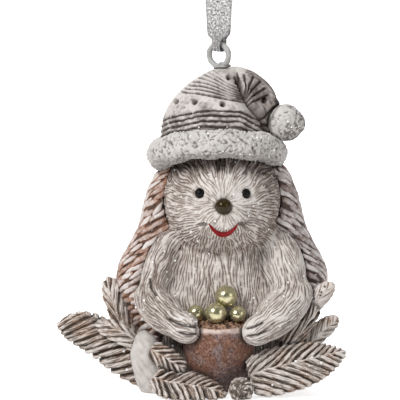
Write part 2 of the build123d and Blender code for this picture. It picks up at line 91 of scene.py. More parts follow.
# How finely the pieces are grown from the solids, in millimetres, and the rounds that calm their skin
GROWTH = {
    "leg": (0.22, 6),
    "coat": (0.4, 7),
    "hat": (0.18, 16),
    "hat_brim": (0.22, 3),
    "hat_pompom": (0.17, 3),
    "hanging_ring": (0.13, 3),
    "ring_collar": (0.13, 30),
    "mouth": (0.12, 3),
    "pot": (0.2, 4),
    "soil": (0.2, 1),
    "sprig": (0.15, 6),
    "bud": (0.15, 3),
}
FUR_ROUNDS = 8
FUR_FILLET = 1.5
JOIN_VOXEL = 0.3
SAME_POINT = 0.0005
# The most marks that are scattered on one skin, and the most places tried for them
MOST_MARKS = 6000
MOST_TRIES = 45000

# Shades that the panel doesn't list, each set from the groove to the ridge
LEG_TONES = ((0.26, 0.22, 0.2), (0.47, 0.43, 0.4), (0.62, 0.58, 0.55))
WIRE_TONES = ((0.14, 0.135, 0.13), (0.33, 0.325, 0.315), (0.46, 0.455, 0.44))
SOIL_TONES = ((0.05, 0.025, 0.015), (0.24, 0.12, 0.07), (0.5, 0.33, 0.22))
LIP_TONES = ((0.1, 0.005, 0.005), (0.16, 0.005, 0.006))
KNIT_FLANK = (0.22, 0.187, 0.17)
FLEECE_FLANK = (0.42, 0.39, 0.37)
NEEDLE_FLANK = (0.3, 0.25, 0.215)
NEEDLE_WARM = (0.3, 0.2, 0.14)
GLOSS_BLACK = (0.006, 0.006, 0.006)
BEAD_DULL = (0.02, 0.015, 0.01)
POT_SHADE = (0.1, 0.05, 0.035)
POT_SPECK = (0.06, 0.025, 0.017)
POT_CHIP = (0.42, 0.26, 0.19)
BERRY_OLIVE = (0.36, 0.36, 0.16)
BERRY_FLECK = (0.8, 0.76, 0.62)
RIBBON_SHADE = (0.13, 0.125, 0.125)
RIBBON_PAINTED_GLINT = (0.95, 0.94, 0.95)
RIBBON_EDGE = (0.3, 0.29, 0.29)
FLAKE_TONES = ((0.95, 0.9, 0.93), (0.9, 0.95, 0.92))


def node_box(name):
    """The lowest and highest corner of a solid, in millimetres."""
    low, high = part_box(name)
    return np.array(low) / MM, np.array(high) / MM


def node_middle(name):
    """The middle of a solid's box, in millimetres."""
    low, high = node_box(name)
    return (low + high) / 2


# Places on the figurine, in millimetres, and directions
NOSE = node_middle("nose")
EYES = [node_middle("eye_left"), node_middle("eye_right")]
BRIM_MIDDLE = np.array([-1.1, -4.0, 53.0])
BRIM_AXIS = np.array([-math.sin(BRIM_ROLL), math.sin(BRIM_TILT), math.cos(BRIM_TILT)])
WIRE_TOP = np.array(frame["joints"][0]["pos_m"]) / MM
RING_ACROSS = np.array([math.cos(RING_TURN), -math.sin(RING_TURN), 0])
RING_FRONT = np.array([-math.sin(RING_TURN), -math.cos(RING_TURN), 0])


def in_photo(points):
    """Where points fall in the photograph, in its pixels."""
    rise = points[:, 2] * math.cos(CAMERA_RISE) + points[:, 1] * math.sin(CAMERA_RISE)
    return PIXEL_ACROSS + points[:, 0] / PIXEL, PIXEL_DOWN - rise / PIXEL


# Settings


def length(name, description, default):
    """A length that a user may change."""
    return bpy.props.FloatProperty(
        name=name,
        description=description,
        default=default,
        min=0,
        unit="LENGTH",
        subtype="DISTANCE",
        precision=5,
    )


def colour(name, description, default):
    """A paint colour that a user may change."""
    return bpy.props.FloatVectorProperty(
        name=name, description=description, default=default, size=3, min=0, max=1, subtype="COLOR"
    )


class FigurineSizes(bpy.types.PropertyGroup):
    """Sizes of the carving"""

    voxel: length("Carving step", "Distance between the points that the carving moves", 0.00015)
    fur_depth: length("Fur depth", "Depth of the fine strokes in the fur", 0.0002)
    lock_depth: length("Lock depth", "Depth of the broad grooves between locks of fur", 0.0003)
    quill_length: length("Quill length", "Length of one quill", 0.0062)
    quill_width: length("Quill width", "Width of one quill", 0.0015)
    quill_height: length("Quill height", "Thickness of one quill", 0.0013)
    needle_depth: length("Needle depth", "Depth of the grooves between needles", 0.0006)
    knit_depth: length("Knit depth", "Depth of the grooves in the hat", 0.00045)
    fleece_depth: length("Fleece depth", "Height of the tufts on brim and pompom", 0.00055)
    flake: length("Glitter flake", "Width of one flake of glitter", 0.00052)


class FigurinePaints(bpy.types.PropertyGroup):
    """Colours of the paint"""

    fur_ridge: colour("Fur ridge", "Whitewash on the fur's ridges", (0.735, 0.685, 0.645))
    fur_groove: colour("Fur groove", "Stain in the fur's grooves", (0.115, 0.076, 0.056))
    fur_flank: colour("Fur flank", "Washed beige on the fur's flanks", (0.37, 0.308, 0.272))
    # The antiquing's colour, also painted as shade in crevices and where pieces touch
    stain_and_shade: colour("Stain", "Dark antiquing in crevices", (0.035, 0.022, 0.017))
    copper: colour("Copper", "Brown paint between the quills on the left", (0.33, 0.145, 0.07))
    maroon: colour("Maroon", "Brown paint between the quills on the right", (0.22, 0.15, 0.13))
    quill_ridge: colour("Quill ridge", "Whitewash on the quills", (0.74, 0.69, 0.67))
    knit_ridge: colour("Knit ridge", "Whitewash on the hat", (0.62, 0.58, 0.55))
    knit_groove: colour("Knit groove", "Stain in the hat's grooves", (0.032, 0.025, 0.022))
    fleece: colour("Fleece", "White of the brim and pompom", (0.6, 0.575, 0.55))
    fleece_pit: colour("Fleece pit", "Grey in the fleece's hollows", (0.17, 0.155, 0.145))
    needle_ridge: colour("Needle ridge", "Whitewash on the needles", (0.74, 0.68, 0.64))
    needle_groove: colour("Needle groove", "Stain between the needles", (0.03, 0.018, 0.012))
    terracotta: colour("Terracotta", "The pot's paint", (0.23, 0.105, 0.065))
    dust: colour("Dust", "Grey bloom on the pot", (0.24, 0.19, 0.195))
    rim: colour("Rim", "Pale wash on the pot's rim", (0.68, 0.53, 0.47))
    berry: colour("Berry", "Pearly paint of the berries", (0.55, 0.5, 0.32))
    nose: colour("Nose", "Bronze of the nose", (0.03, 0.018, 0.003))
    mouth: colour("Mouth", "Red of the mouth", (0.23, 0.006, 0.008))
    ribbon: colour("Ribbon", "Silver of the ribbon", (0.74, 0.72, 0.72))


def sizes():
    """The sizes now set."""
    return bpy.context.scene.figurine_sizes


def paints():
    """The colours now set."""
    return bpy.context.scene.figurine_paints


# Shapes


def read(mesh):
    """A mesh's points as rows of three."""
    points = np.empty(len(mesh.vertices) * 3, np.float32)
    mesh.vertices.foreach_get("co", points)
    return points.reshape(-1, 3).astype(float)


def write(mesh, points):
    """Moves a mesh's points."""
    mesh.vertices.foreach_set("co", points.astype(np.float32).ravel())
    mesh.update()


def normals_of(mesh):
    """The outward directions at a mesh's points."""
    normals = np.empty(len(mesh.vertices) * 3, np.float32)
    mesh.vertex_normals.foreach_get("vector", normals)
    return normals.reshape(-1, 3).astype(float)


def links_of(mesh):
    """The pairs of points that a mesh's edges join."""
    pairs = np.empty(len(mesh.edges) * 2, np.int32)
    mesh.edges.foreach_get("vertices", pairs)
    return pairs.reshape(-1, 2)


def with_skin(mesh):
    """A mesh with its points and its outward directions there."""
    return mesh, read(mesh), normals_of(mesh)


def raise_skin(mesh, points, normals, heights):
    """Puts a mesh's points at heights over the given ones, along the normals."""
    write(mesh, points + normals * heights[:, None])


def relaxed(values, links, rounds, share=0.6):
    """Values at the points, each drawn towards its neighbours' mean for some rounds."""
    flat = values.ndim == 1
    table = values[:, None] if flat else values
    count = np.bincount(links.ravel(), minlength=len(table))[:, None].clip(1)
    for _ in range(rounds):
        total = np.empty_like(table)
        for axis in range(table.shape[1]):
            column = table[:, axis]
            total[:, axis] = np.bincount(links[:, 0], column[links[:, 1]], len(column))
            total[:, axis] += np.bincount(links[:, 1], column[links[:, 0]], len(column))
        table = table * (1 - share) + share * total / count
    return table[:, 0] if flat else table


def unit(vectors):
    """Rows scaled to length one."""
    return vectors / np.linalg.norm(vectors, axis=1, keepdims=True).clip(1e-9)


def gap_to(points, place):
    """The distance of points from a place."""
    return np.linalg.norm(points - place, axis=1)


def along_skin(vectors, normals):
    """Directions laid flat on the skin."""
    return unit(vectors - normals * (vectors * normals).sum(1, keepdims=True))


def turned(flow, normals, angles):
    """Directions on the skin, turned by angles about its normals."""
    return flow * np.cos(angles)[:, None] + np.cross(normals, flow) * np.sin(angles)[:, None]


def ease(low, high, values):
    """A smooth step from 0 at low to 1 at high."""
    share = ((values - low) / (high - low)).clip(0, 1)
    return share * share * (3 - 2 * share)


def ripple(points, size, seed, waves=7):
    """A soft random field between about -1 and 1, with bumps of the given size."""
    dice = np.random.default_rng(seed)
    total = np.zeros(len(points))
    for direction in unit(dice.normal(size=(waves, 3))):
        pitch = size * dice.uniform(1.4, 2.6)
        total += np.sin(points @ direction * 2 * math.pi / pitch + dice.uniform(0, 2 * math.pi))
    return total / math.sqrt(waves)


def ranked(values):
    """Values spread evenly between 0 and 1."""
    order = np.empty(len(values))
    order[np.argsort(values)] = np.linspace(0, 1, len(values))
    return order


def tree_of(points):
    """A search tree over points."""
    tree = KDTree(len(points))
    for index, point in enumerate(points):
        tree.insert(point, index)
    tree.balance()
    return tree


def nearest_in(tree, points):
    """How far each point lies from the nearest place in a tree, and that place's number."""
    hits = [tree.find(point) for point in points]
    return np.array([hit[2] for hit in hits]), np.array([hit[1] for hit in hits])


def streaks(points, flow, grain, reach, step=0.27):
    """Random grain combed along a flow over the skin, spread evenly between 0 and 1."""
    tree = tree_of(points)
    _, ahead = nearest_in(tree, points + flow * step)
    _, behind = nearest_in(tree, points - flow * step)
    total = grain.copy()
    forth = back = np.arange(len(points))
    for _ in range(int(reach / step)):
        forth, back = ahead[forth], behind[back]
        total += grain[forth] + grain[back]
    return ranked(total)


def scattered(points, normals, flow, wide, long, dice, allowed):
    """Points for marks of given widths and lengths along the flow, so that these lie evenly spread."""
    across = np.cross(normals, flow)
    wide, long = np.broadcast_to(wide, len(points)), np.broadcast_to(long, len(points))
    kept, count, chosen = np.zeros((MOST_MARKS, 3)), 0, []
    for index in dice.permutation(np.nonzero(allowed)[0])[:MOST_TRIES]:
        gaps = kept[:count] - points[index]
        beside = gaps @ across[index] / wide[index]
        before = gaps @ flow[index] / long[index]
        apart = gaps @ normals[index] / long[index]
        if count and (beside**2 + before**2 + apart**2).min() < 1:
            continue
        kept[count] = points[index]
        count += 1
        chosen.append(index)
    return chosen


def strokes(points, normals, flow, starts, lengths, step=0.15):
    """Places along short lines that follow the flow through chosen points, and their taper."""
    tree = tree_of(points)
    track, taper = [], []
    for start, reach in zip(starts, lengths):
        count = max(2, int(reach / 2 / step))
        for sign in (step, -step):
            here, place = start, points[start]
            for turn in range(count):
                track.append(place)
                taper.append(1 - (turn / count) ** 2)
                place = place + sign * flow[here]
                here = tree.find(place)[1]
                place = place - normals[here] * ((place - points[here]) @ normals[here])
    return np.array(track), np.array(taper)


def stroked(points, normals, flow, wide, long, dice, allowed, thin, thick):
    """How deep in a fine stroke each point lies, with strokes spread evenly along the flow."""
    long = np.broadcast_to(long, len(points))
    starts = scattered(points, normals, flow, wide, long, dice, allowed)
    lengths = long[starts] * dice.uniform(0.9, 1.5, len(starts))
    track, taper = strokes(points, normals, flow, starts, lengths)
    gap, nearest = nearest_in(tree_of(track), points)
    return ease(thick, thin, gap) * taper[nearest] ** 0.6 * allowed


def spots(points, spacing, seed):
    """How far each point lies from scattered spots of a given spacing, and which spot is nearest."""
    dice = np.random.default_rng(seed)
    low, high = points.min(0), points.max(0)
    area = ((high - low)[[0, 1, 0]] * (high - low)[[1, 2, 2]]).sum() * 1.6
    chosen = points[dice.choice(len(points), min(len(points), int(area / spacing**2)), replace=False)]
    gap, nearest = nearest_in(tree_of(chosen), points)
    return gap / spacing, nearest


def placed(name, data):
    """A new object in the scene."""
    made = bpy.data.objects.new(name, data)
    bpy.context.scene.collection.objects.link(made)
    return made


def finished(form, name):
    """The mesh of a bmesh, which is freed."""
    mesh = bpy.data.meshes.new(name)
    form.to_mesh(mesh)
    form.free()
    return mesh


def modify(holder, name, kind, **settings):
    """Adds a modifier with its settings."""
    modifier = holder.modifiers.new(name, kind)
    for key, value in settings.items():
        setattr(modifier, key, value)


def applied(holder):
    """The mesh that an object's modifiers or curve give, in place of the object."""
    mesh = bpy.data.meshes.new_from_object(holder.evaluated_get(bpy.context.evaluated_depsgraph_get()))
    bpy.data.objects.remove(holder)
    return mesh


def grown(nodes, voxel, rounds, fillet=0):
    """Solids grown together into one even skin, in millimetres, its corners eased by a fillet."""
    shell = bmesh.new()
    for name in nodes:
        shell.from_mesh(frame["nodes"][name].data)
    bmesh.ops.scale(shell, vec=(1 / MM,) * 3, verts=shell.verts)
    bmesh.ops.remove_doubles(shell, verts=shell.verts, dist=SAME_POINT)
    rough = finished(shell, "rough")
    carrier = placed("carrier", rough)
    for offset in (fillet, -fillet) if fillet else ():
        modify(carrier, "join", "REMESH", mode="VOXEL", voxel_size=JOIN_VOXEL)
        modify(carrier, "calm", "SMOOTH", iterations=4)
        modify(carrier, "swell", "DISPLACE", mid_level=0, strength=offset)
    modify(carrier, "grow", "REMESH", mode="VOXEL", voxel_size=voxel)
    mesh = applied(carrier)
    bpy.data.meshes.remove(rough)
    write(mesh, relaxed(read(mesh), links_of(mesh), rounds))
    return with_skin(mesh)


def ball_skin(middle, radius):
    """A round skin, in millimetres."""
    ball = bmesh.new()
    bmesh.ops.create_icosphere(ball, subdivisions=5, radius=radius)
    bmesh.ops.translate(ball, vec=middle, verts=ball.verts)
    return with_skin(finished(ball, "ball"))


def surface_of(nodes):
    """A search surface over solids, in millimetres."""
    places, faces = [], []
    for name in nodes:
        mesh = frame["nodes"][name].data
        start = len(places)
        places += [vertex.co / MM for vertex in mesh.vertices]
        faces += [[start + corner for corner in face.vertices] for face in mesh.polygons]
    return BVHTree.FromPolygons(places, faces)


def nearness(points, nodes, reach):
    """1 where points touch other solids, falling to 0 at a reach from them."""
    surface = surface_of(nodes)
    found = [surface.find_nearest(Vector(point), reach)[3] for point in points]
    return np.array([0 if gap is None else 1 - gap / reach for gap in found])


def hollows(points, normals, links, rounds):
    """How deep each point lies in a fold of its own skin, in millimetres."""
    return ((relaxed(points, links, rounds) - points) * normals).sum(1)


def mark(mesh, **fields):
    """Keeps values for the paint with a mesh's points."""
    for name, values in fields.items():
        layer = mesh.attributes.new(name, "FLOAT", "POINT")
        layer.data.foreach_set("value", np.asarray(values, np.float32))


def lay_out(mesh, flat):
    """Gives a mesh a UV map from one flat place for each point."""
    corners = np.empty(len(mesh.loops), np.int32)
    mesh.loops.foreach_get("vertex_index", corners)
    layer = mesh.uv_layers.new(name="UVMap")
    layer.data.foreach_set("uv", flat[corners].astype(np.float32).ravel())


def piece(name, mesh, material, replaces=(), body="figure"):
    """Turns a mesh from millimetres to metres and puts it on the figurine, none of it below the base."""
    points = read(mesh)
    points[:, 2] = points[:, 2].clip(0)
    write(mesh, points)
    mesh.transform(Matrix.Scale(MM, 4))
    mesh.materials.clear()
    mesh.materials.append(material)
    mesh.shade_smooth()
    mesh.name = name
    made = placed(name, mesh)
    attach(made, body)
    if replaces:
        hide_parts(*replaces)
    return made


# Paint


class Nodes:
    """The nodes of a tree, added one after the other."""

    def __init__(self, tree):
        self.tree = tree

    def add(self, kind, **settings):
        """A node with its settings."""
        node = self.tree.nodes.new(kind)
        for key, value in settings.items():
            setattr(node, key, value)
        return node

    def join(self, source, target):
        """Feeds a value or an output into an input."""
        if isinstance(source, bpy.types.NodeSocket):
            self.tree.links.new(source, target)
        elif hasattr(target.default_value, "__len__"):
            target.default_value = (*source, 1)[: len(target.default_value)]
        else:
            target.default_value = source

    def spread(self, value, low, high, start=0.0, end=1.0):
        """A value stretched from one range to another and held inside it."""
        node = self.add("ShaderNodeMapRange", clamp=True)
        sources = {"Value": value, "From Min": low, "From Max": high, "To Min": start, "To Max": end}
        for key, source in sources.items():
            self.join(source, node.inputs[key])
        return node.outputs["Result"]

    def sum(self, how, first, second=0.0):
        """Arithmetic on one value or two."""
        node = self.add("ShaderNodeMath", operation=how)
        self.join(first, node.inputs[0])
        self.join(second, node.inputs[1])
        return node.outputs[0]

    def blend(self, share, first, second, kind="RGBA"):
        """Two colours or values mixed."""
        node = self.add("ShaderNodeMix", data_type=kind)
        self.join(share, node.inputs["Factor"])
        self.join(first, node.inputs["A"])
        self.join(second, node.inputs["B"])
        return node.outputs["Result"]


class Paint(Nodes):
    """A material's nodes."""

    def __init__(self, name):
        self.material = bpy.data.materials.new(name)
        self.material.use_nodes = True
        super().__init__(self.material.node_tree)
        self.shader = self.tree.nodes["Principled BSDF"]
        self.place = self.add("ShaderNodeTexCoord").outputs["Object"]

    def set(self, **sources):
        """Feeds the shader's inputs."""
        for key, source in sources.items():
            self.join(source, self.shader.inputs[key.replace("_", " ")])

    def field(self, name):
        """A value kept with the points."""
        return self.add("ShaderNodeAttribute", attribute_name=name).outputs["Fac"]

    def noise(self, size, detail=3.0, place=None, roughness=0.55):
        """Soft noise with bumps of a size in metres."""
        node = self.add("ShaderNodeTexNoise")
        self.join(place or self.place, node.inputs["Vector"])
        self.join(1 / size, node.inputs["Scale"])
        self.join(detail, node.inputs["Detail"])
        self.join(roughness, node.inputs["Roughness"])
        return node.outputs["Fac"]

    def relief(self, height, depth):
        """Fine bumps of a depth in metres."""
        node = self.add("ShaderNodeBump")
        self.join(height, node.inputs["Height"])
        self.join(depth, node.inputs["Distance"])
        self.set(Normal=node.outputs["Normal"])


# The sizes of the resin's wear, mottling, uneven crevices and grit, in metres
WEAR_SIZE = 0.0009
MOTTLE_SIZE = 0.0045
CREVICE_SIZE = 0.0007
GRIT_SIZE = 0.00028
# How rough the resin is in its grooves and on its ridges
RESIN_ROUGHNESS = (0.78, 0.55)


def resin(name, groove, flank, ridge, grit=0.00006, mottle=0.2, warm=None, gleam=0.5):
    """Cast resin: stained grooves, washed flanks, white ridges, crevices darkened by painted shade and
    antiquing, and a fine grit.
    """
    paint = Paint(name)
    wear = paint.spread(paint.noise(WEAR_SIZE, 4), 0.3, 0.7, -0.16, 0.16)
    worn = paint.sum("ADD", paint.field("ridge"), wear)
    side = paint.blend(paint.field("warm"), flank, warm) if warm else flank
    low = paint.blend(paint.spread(worn, 0.04, 0.45), groove, side)
    base = paint.blend(paint.spread(worn, 0.45, 0.9), low, ridge)
    patchy = paint.blend(paint.spread(paint.noise(MOTTLE_SIZE, 2), 0.35, 0.7, 0, mottle), base, side)
    # Crevices are darkened by painted shade, partly antiquing
    uneven = paint.spread(paint.noise(CREVICE_SIZE, 3), 0.3, 0.6, 0.75, 1.0)
    crevice = paint.sum("MULTIPLY", paint.field("grime"), uneven)
    paint.set(Base_Color=paint.blend(crevice, patchy, paints().stain_and_shade))
    paint.set(Roughness=paint.spread(worn, 0.0, 1.0, *RESIN_ROUGHNESS), Specular_IOR_Level=gleam)
    paint.relief(paint.noise(GRIT_SIZE, 4, roughness=0.65), grit)
    return paint.material


def glossy(name, shade, roughness, gleam):
    """A small shiny bead with uneven paint."""
    paint = Paint(name)
    patchy = paint.spread(paint.noise(0.0007, 4), 0.42, 0.68, 0, 0.25)
    paint.set(Base_Color=paint.blend(patchy, shade, BEAD_DULL), Roughness=roughness)
    paint.set(Specular_IOR_Level=gleam)
    paint.relief(paint.noise(0.0009, 2), 0.00002)
    return paint.material


# Camera, light and floor


# The camera's distance and the lamps' places, in metres, the lamps' widths and their power in watts
CAMERA_DISTANCE = 1.6
CAMERA_CLIP = (0.05, 20)
SENSOR_WIDTH = 36
LAMPS = {
    "key": ((-0.32, -0.42, 0.42), 0.26, 3.1),
    "fill": ((0.5, -0.4, 0.22), 0.35, 0.7),
    "top": ((0.02, 0.06, 0.6), 0.4, 1.0),
    "back": ((-0.1, 0.6, 0.3), 0.4, 1.6),
}
LAMPS_AIM = Vector((0, 0, 0.04))
# Where the surround is dark, how near to there its light fades, and its light outside and inside
DARK_SIDE = Vector((0.1, -0.97, 0.1)).normalized()
DARK_EDGE = (0.35, 0.85)
SKY_LIGHT = (0.36, 0.05)
FLOOR_RADIUS = 1.2
FLOOR_WHITE = (0.9, 0.9, 0.9)
FLOOR_GLOW = 0.72


class FIGURINE_OT_stage(bpy.types.Operator):
    """Sets up the camera, the soft light and the white floor"""

    bl_idname = "figurine.stage"
    bl_label = "Stage"

    def execute(self, context):
        across = (PIXEL_MIDDLE - PIXEL_ACROSS) * PIXEL * MM
        rise = (PIXEL_DOWN - PIXEL_MIDDLE) * PIXEL * MM / math.cos(CAMERA_RISE)
        back = Vector((0, -math.cos(CAMERA_RISE), math.sin(CAMERA_RISE)))
        lens = bpy.data.cameras.new("camera")
        lens.sensor_width = SENSOR_WIDTH
        lens.lens = SENSOR_WIDTH * CAMERA_DISTANCE / (PHOTO_WIDTH * PIXEL * MM)
        lens.clip_start, lens.clip_end = CAMERA_CLIP
        camera = placed("camera", lens)
        camera.location = Vector((across, 0, rise)) + back * CAMERA_DISTANCE
        camera.rotation_euler = back.to_track_quat("Z", "Y").to_euler()
        context.scene.camera = camera
        context.scene.view_settings.view_transform = "Standard"
        for name, (place, width, power) in LAMPS.items():
            lamp = bpy.data.lights.new(name, "AREA")
            lamp.shape = "DISK"
            lamp.size = width
            lamp.energy = power
            light = placed(name, lamp)
            light.location = place
            light.rotation_euler = (Vector(place) - LAMPS_AIM).to_track_quat("Z", "Y").to_euler()
        self.sky(context)
        self.floor()
        return {"FINISHED"}

    def sky(self, context):
        """A surround that the camera sees plain white, and that lights softly, less so from the front."""
        world = bpy.data.worlds.new("surround")
        context.scene.world = world
        world.use_nodes = True
        nodes = Nodes(world.node_tree)
        facing = nodes.add("ShaderNodeVectorMath", operation="DOT_PRODUCT")
        nodes.join(nodes.add("ShaderNodeTexCoord").outputs["Generated"], facing.inputs[0])
        nodes.join(DARK_SIDE, facing.inputs[1])
        lighting = nodes.spread(facing.outputs["Value"], *DARK_EDGE, *SKY_LIGHT)
        path = nodes.add("ShaderNodeLightPath")
        seen = nodes.sum("MAXIMUM", path.outputs["Is Camera Ray"], path.outputs["Is Transmission Ray"])
        background = world.node_tree.nodes["Background"]
        nodes.join(nodes.blend(seen, lighting, 1.0, "FLOAT"), background.inputs["Strength"])
        nodes.join((1, 1, 1), background.inputs["Color"])

    def floor(self):
        """A white floor that keeps the shadow."""
        plate = bmesh.new()
        bmesh.ops.create_circle(plate, cap_ends=True, segments=64, radius=FLOOR_RADIUS)
        ground = placed("floor", finished(plate, "floor"))
        paint = Paint("floor white")
        path = paint.add("ShaderNodeLightPath")
        seen = paint.sum("MAXIMUM", path.outputs["Is Camera Ray"], path.outputs["Is Glossy Ray"])
        glow = paint.sum("MULTIPLY", seen, FLOOR_GLOW)
        paint.set(Base_Color=FLOOR_WHITE, Roughness=0.9, Emission_Color=(1, 1, 1), Emission_Strength=glow)
        ground.data.materials.append(paint.material)


# Places read off the photograph


def pixels_from(across, down, place):
    """The distance of points from a place in the photograph, all in pixels."""
    return np.hypot(across - place[0], down - place[1])


def beside_line(across, down, line):
    """The distance of points from a run of places in the photograph, all in pixels."""
    nearest = np.full(len(across), 1e9)
    for (x0, y0), (x1, y1) in zip(line[:-1], line[1:]):
        way = np.array([x1 - x0, y1 - y0], float)
        share = (((across - x0) * way[0] + (down - y0) * way[1]) / (way @ way)).clip(0, 1)
        nearest = np.minimum(nearest, np.hypot(across - x0 - share * way[0], down - y0 - share * way[1]))
    return nearest


def beside_lines(across, down, lines):
    """The distance of points from the nearest of some lines, all in pixels."""
    return np.min([beside_line(across, down, line) for line in lines], axis=0)


# Fur of the head, torso and arms


ARM_LEFT = ((-11.5, -4.5, 34.0), (-17.8, -9.0, 21.0), (-12.5, -13.0, 16.0), (-5.5, -18.0, 13.5))
ARM_RIGHT = ((12.5, -5.0, 34.0), (17.8, -8.5, 21.0), (12.5, -13.0, 16.0), (5.5, -18.0, 13.5))
# The raised thumb, and the lines between the fingers and in the bends of the arms, in pixels
THUMB = ((172, 309), (183, 314), (195, 319))
FINGERS = (
    ((170, 318), (181, 323), (198, 325)),
    ((171, 319), (182, 324), (198, 326)),
    ((180, 332), (187, 334), (196, 333)),
    ((150, 279), (152, 287), (156, 294)),
    ((246, 327), (254, 325), (262, 321)),
    ((247, 335), (256, 334), (266, 330)),
)
# The dimples at the mouth's corners and how wide and high they are, in pixels
DIMPLES = ((203, 224.5), (242.5, 224.0))
DIMPLE_SIZE = (6.0, 2.6)
# The middle column of the chest, and how far from it and down to which rows its folds are left without
# painted shade, in pixels
CHEST_MIDDLE = 222
CHEST_FADE = (45, 25)
CHEST_ROWS = (275, 262)
# The columns over which the face falls into shade
FACE_SHADE = (250, 278)
# What lies before these, in millimetres, is the front of the arms and the fur that the strokes are carved in
ARMS_FRONT = -8
FUR_FRONT = 6
# The strokes' spacings on the head and on the rest, their lengths there, how far from their middles they end,
# and how far from these they are at their deepest, in millimetres
STROKE_WIDTHS = (0.42, 0.48)
STROKE_LENGTHS = (3.0, 3.4)
STROKE_FADES = (0.23, 0.2)
STROKE_CORE = 0.05
# How far from the nose the smooth muzzle ends, its light fades and the locks of fur start, and how far from
# the eyes their smooth rounds end, in millimetres
MUZZLE = (3.0, 8.5)
MUZZLE_LIGHT = (14, 4)
LOCKS_START = (9, 14)
EYE_ROUNDS = (1.4, 4.0)
# How far the painted shade reaches from the brim and from the arms, in millimetres
BRIM_REACH = 4.2
ARM_REACH = 2.6
# How far from the middle and how high the hands end, and the heights of the chest's top and of the torso's
# foot, in millimetres
HANDS_SPAN = (14.5, 8.0)
HANDS_TOP = (22, 16)
CHEST_TOP = (46, 36)
TORSO_FOOT = (13, 10)
FUR_NODES = ("head", "torso", "arm_left", "arm_right")
FUR_NEIGHBOURS = ("hat_brim", "pot", "leg_left", "sprig_right_large", "sprig_right_middle")
MOST_TRIANGLES = 170000


def limb_flow(points, joints):
    """The direction along a bent limb, shared between its stretches by nearness."""
    total = np.zeros_like(points)
    for start, end in zip(joints[:-1], joints[1:]):
        way = np.array(end) - np.array(start)
        share = ((points - start) @ way / (way @ way)).clip(0, 1)
        gap = np.linalg.norm(points - start - share[:, None] * way, axis=1)
        total += way / np.linalg.norm(way) * (1 / (gap + 0.3) ** 4)[:, None]
    return unit(total)


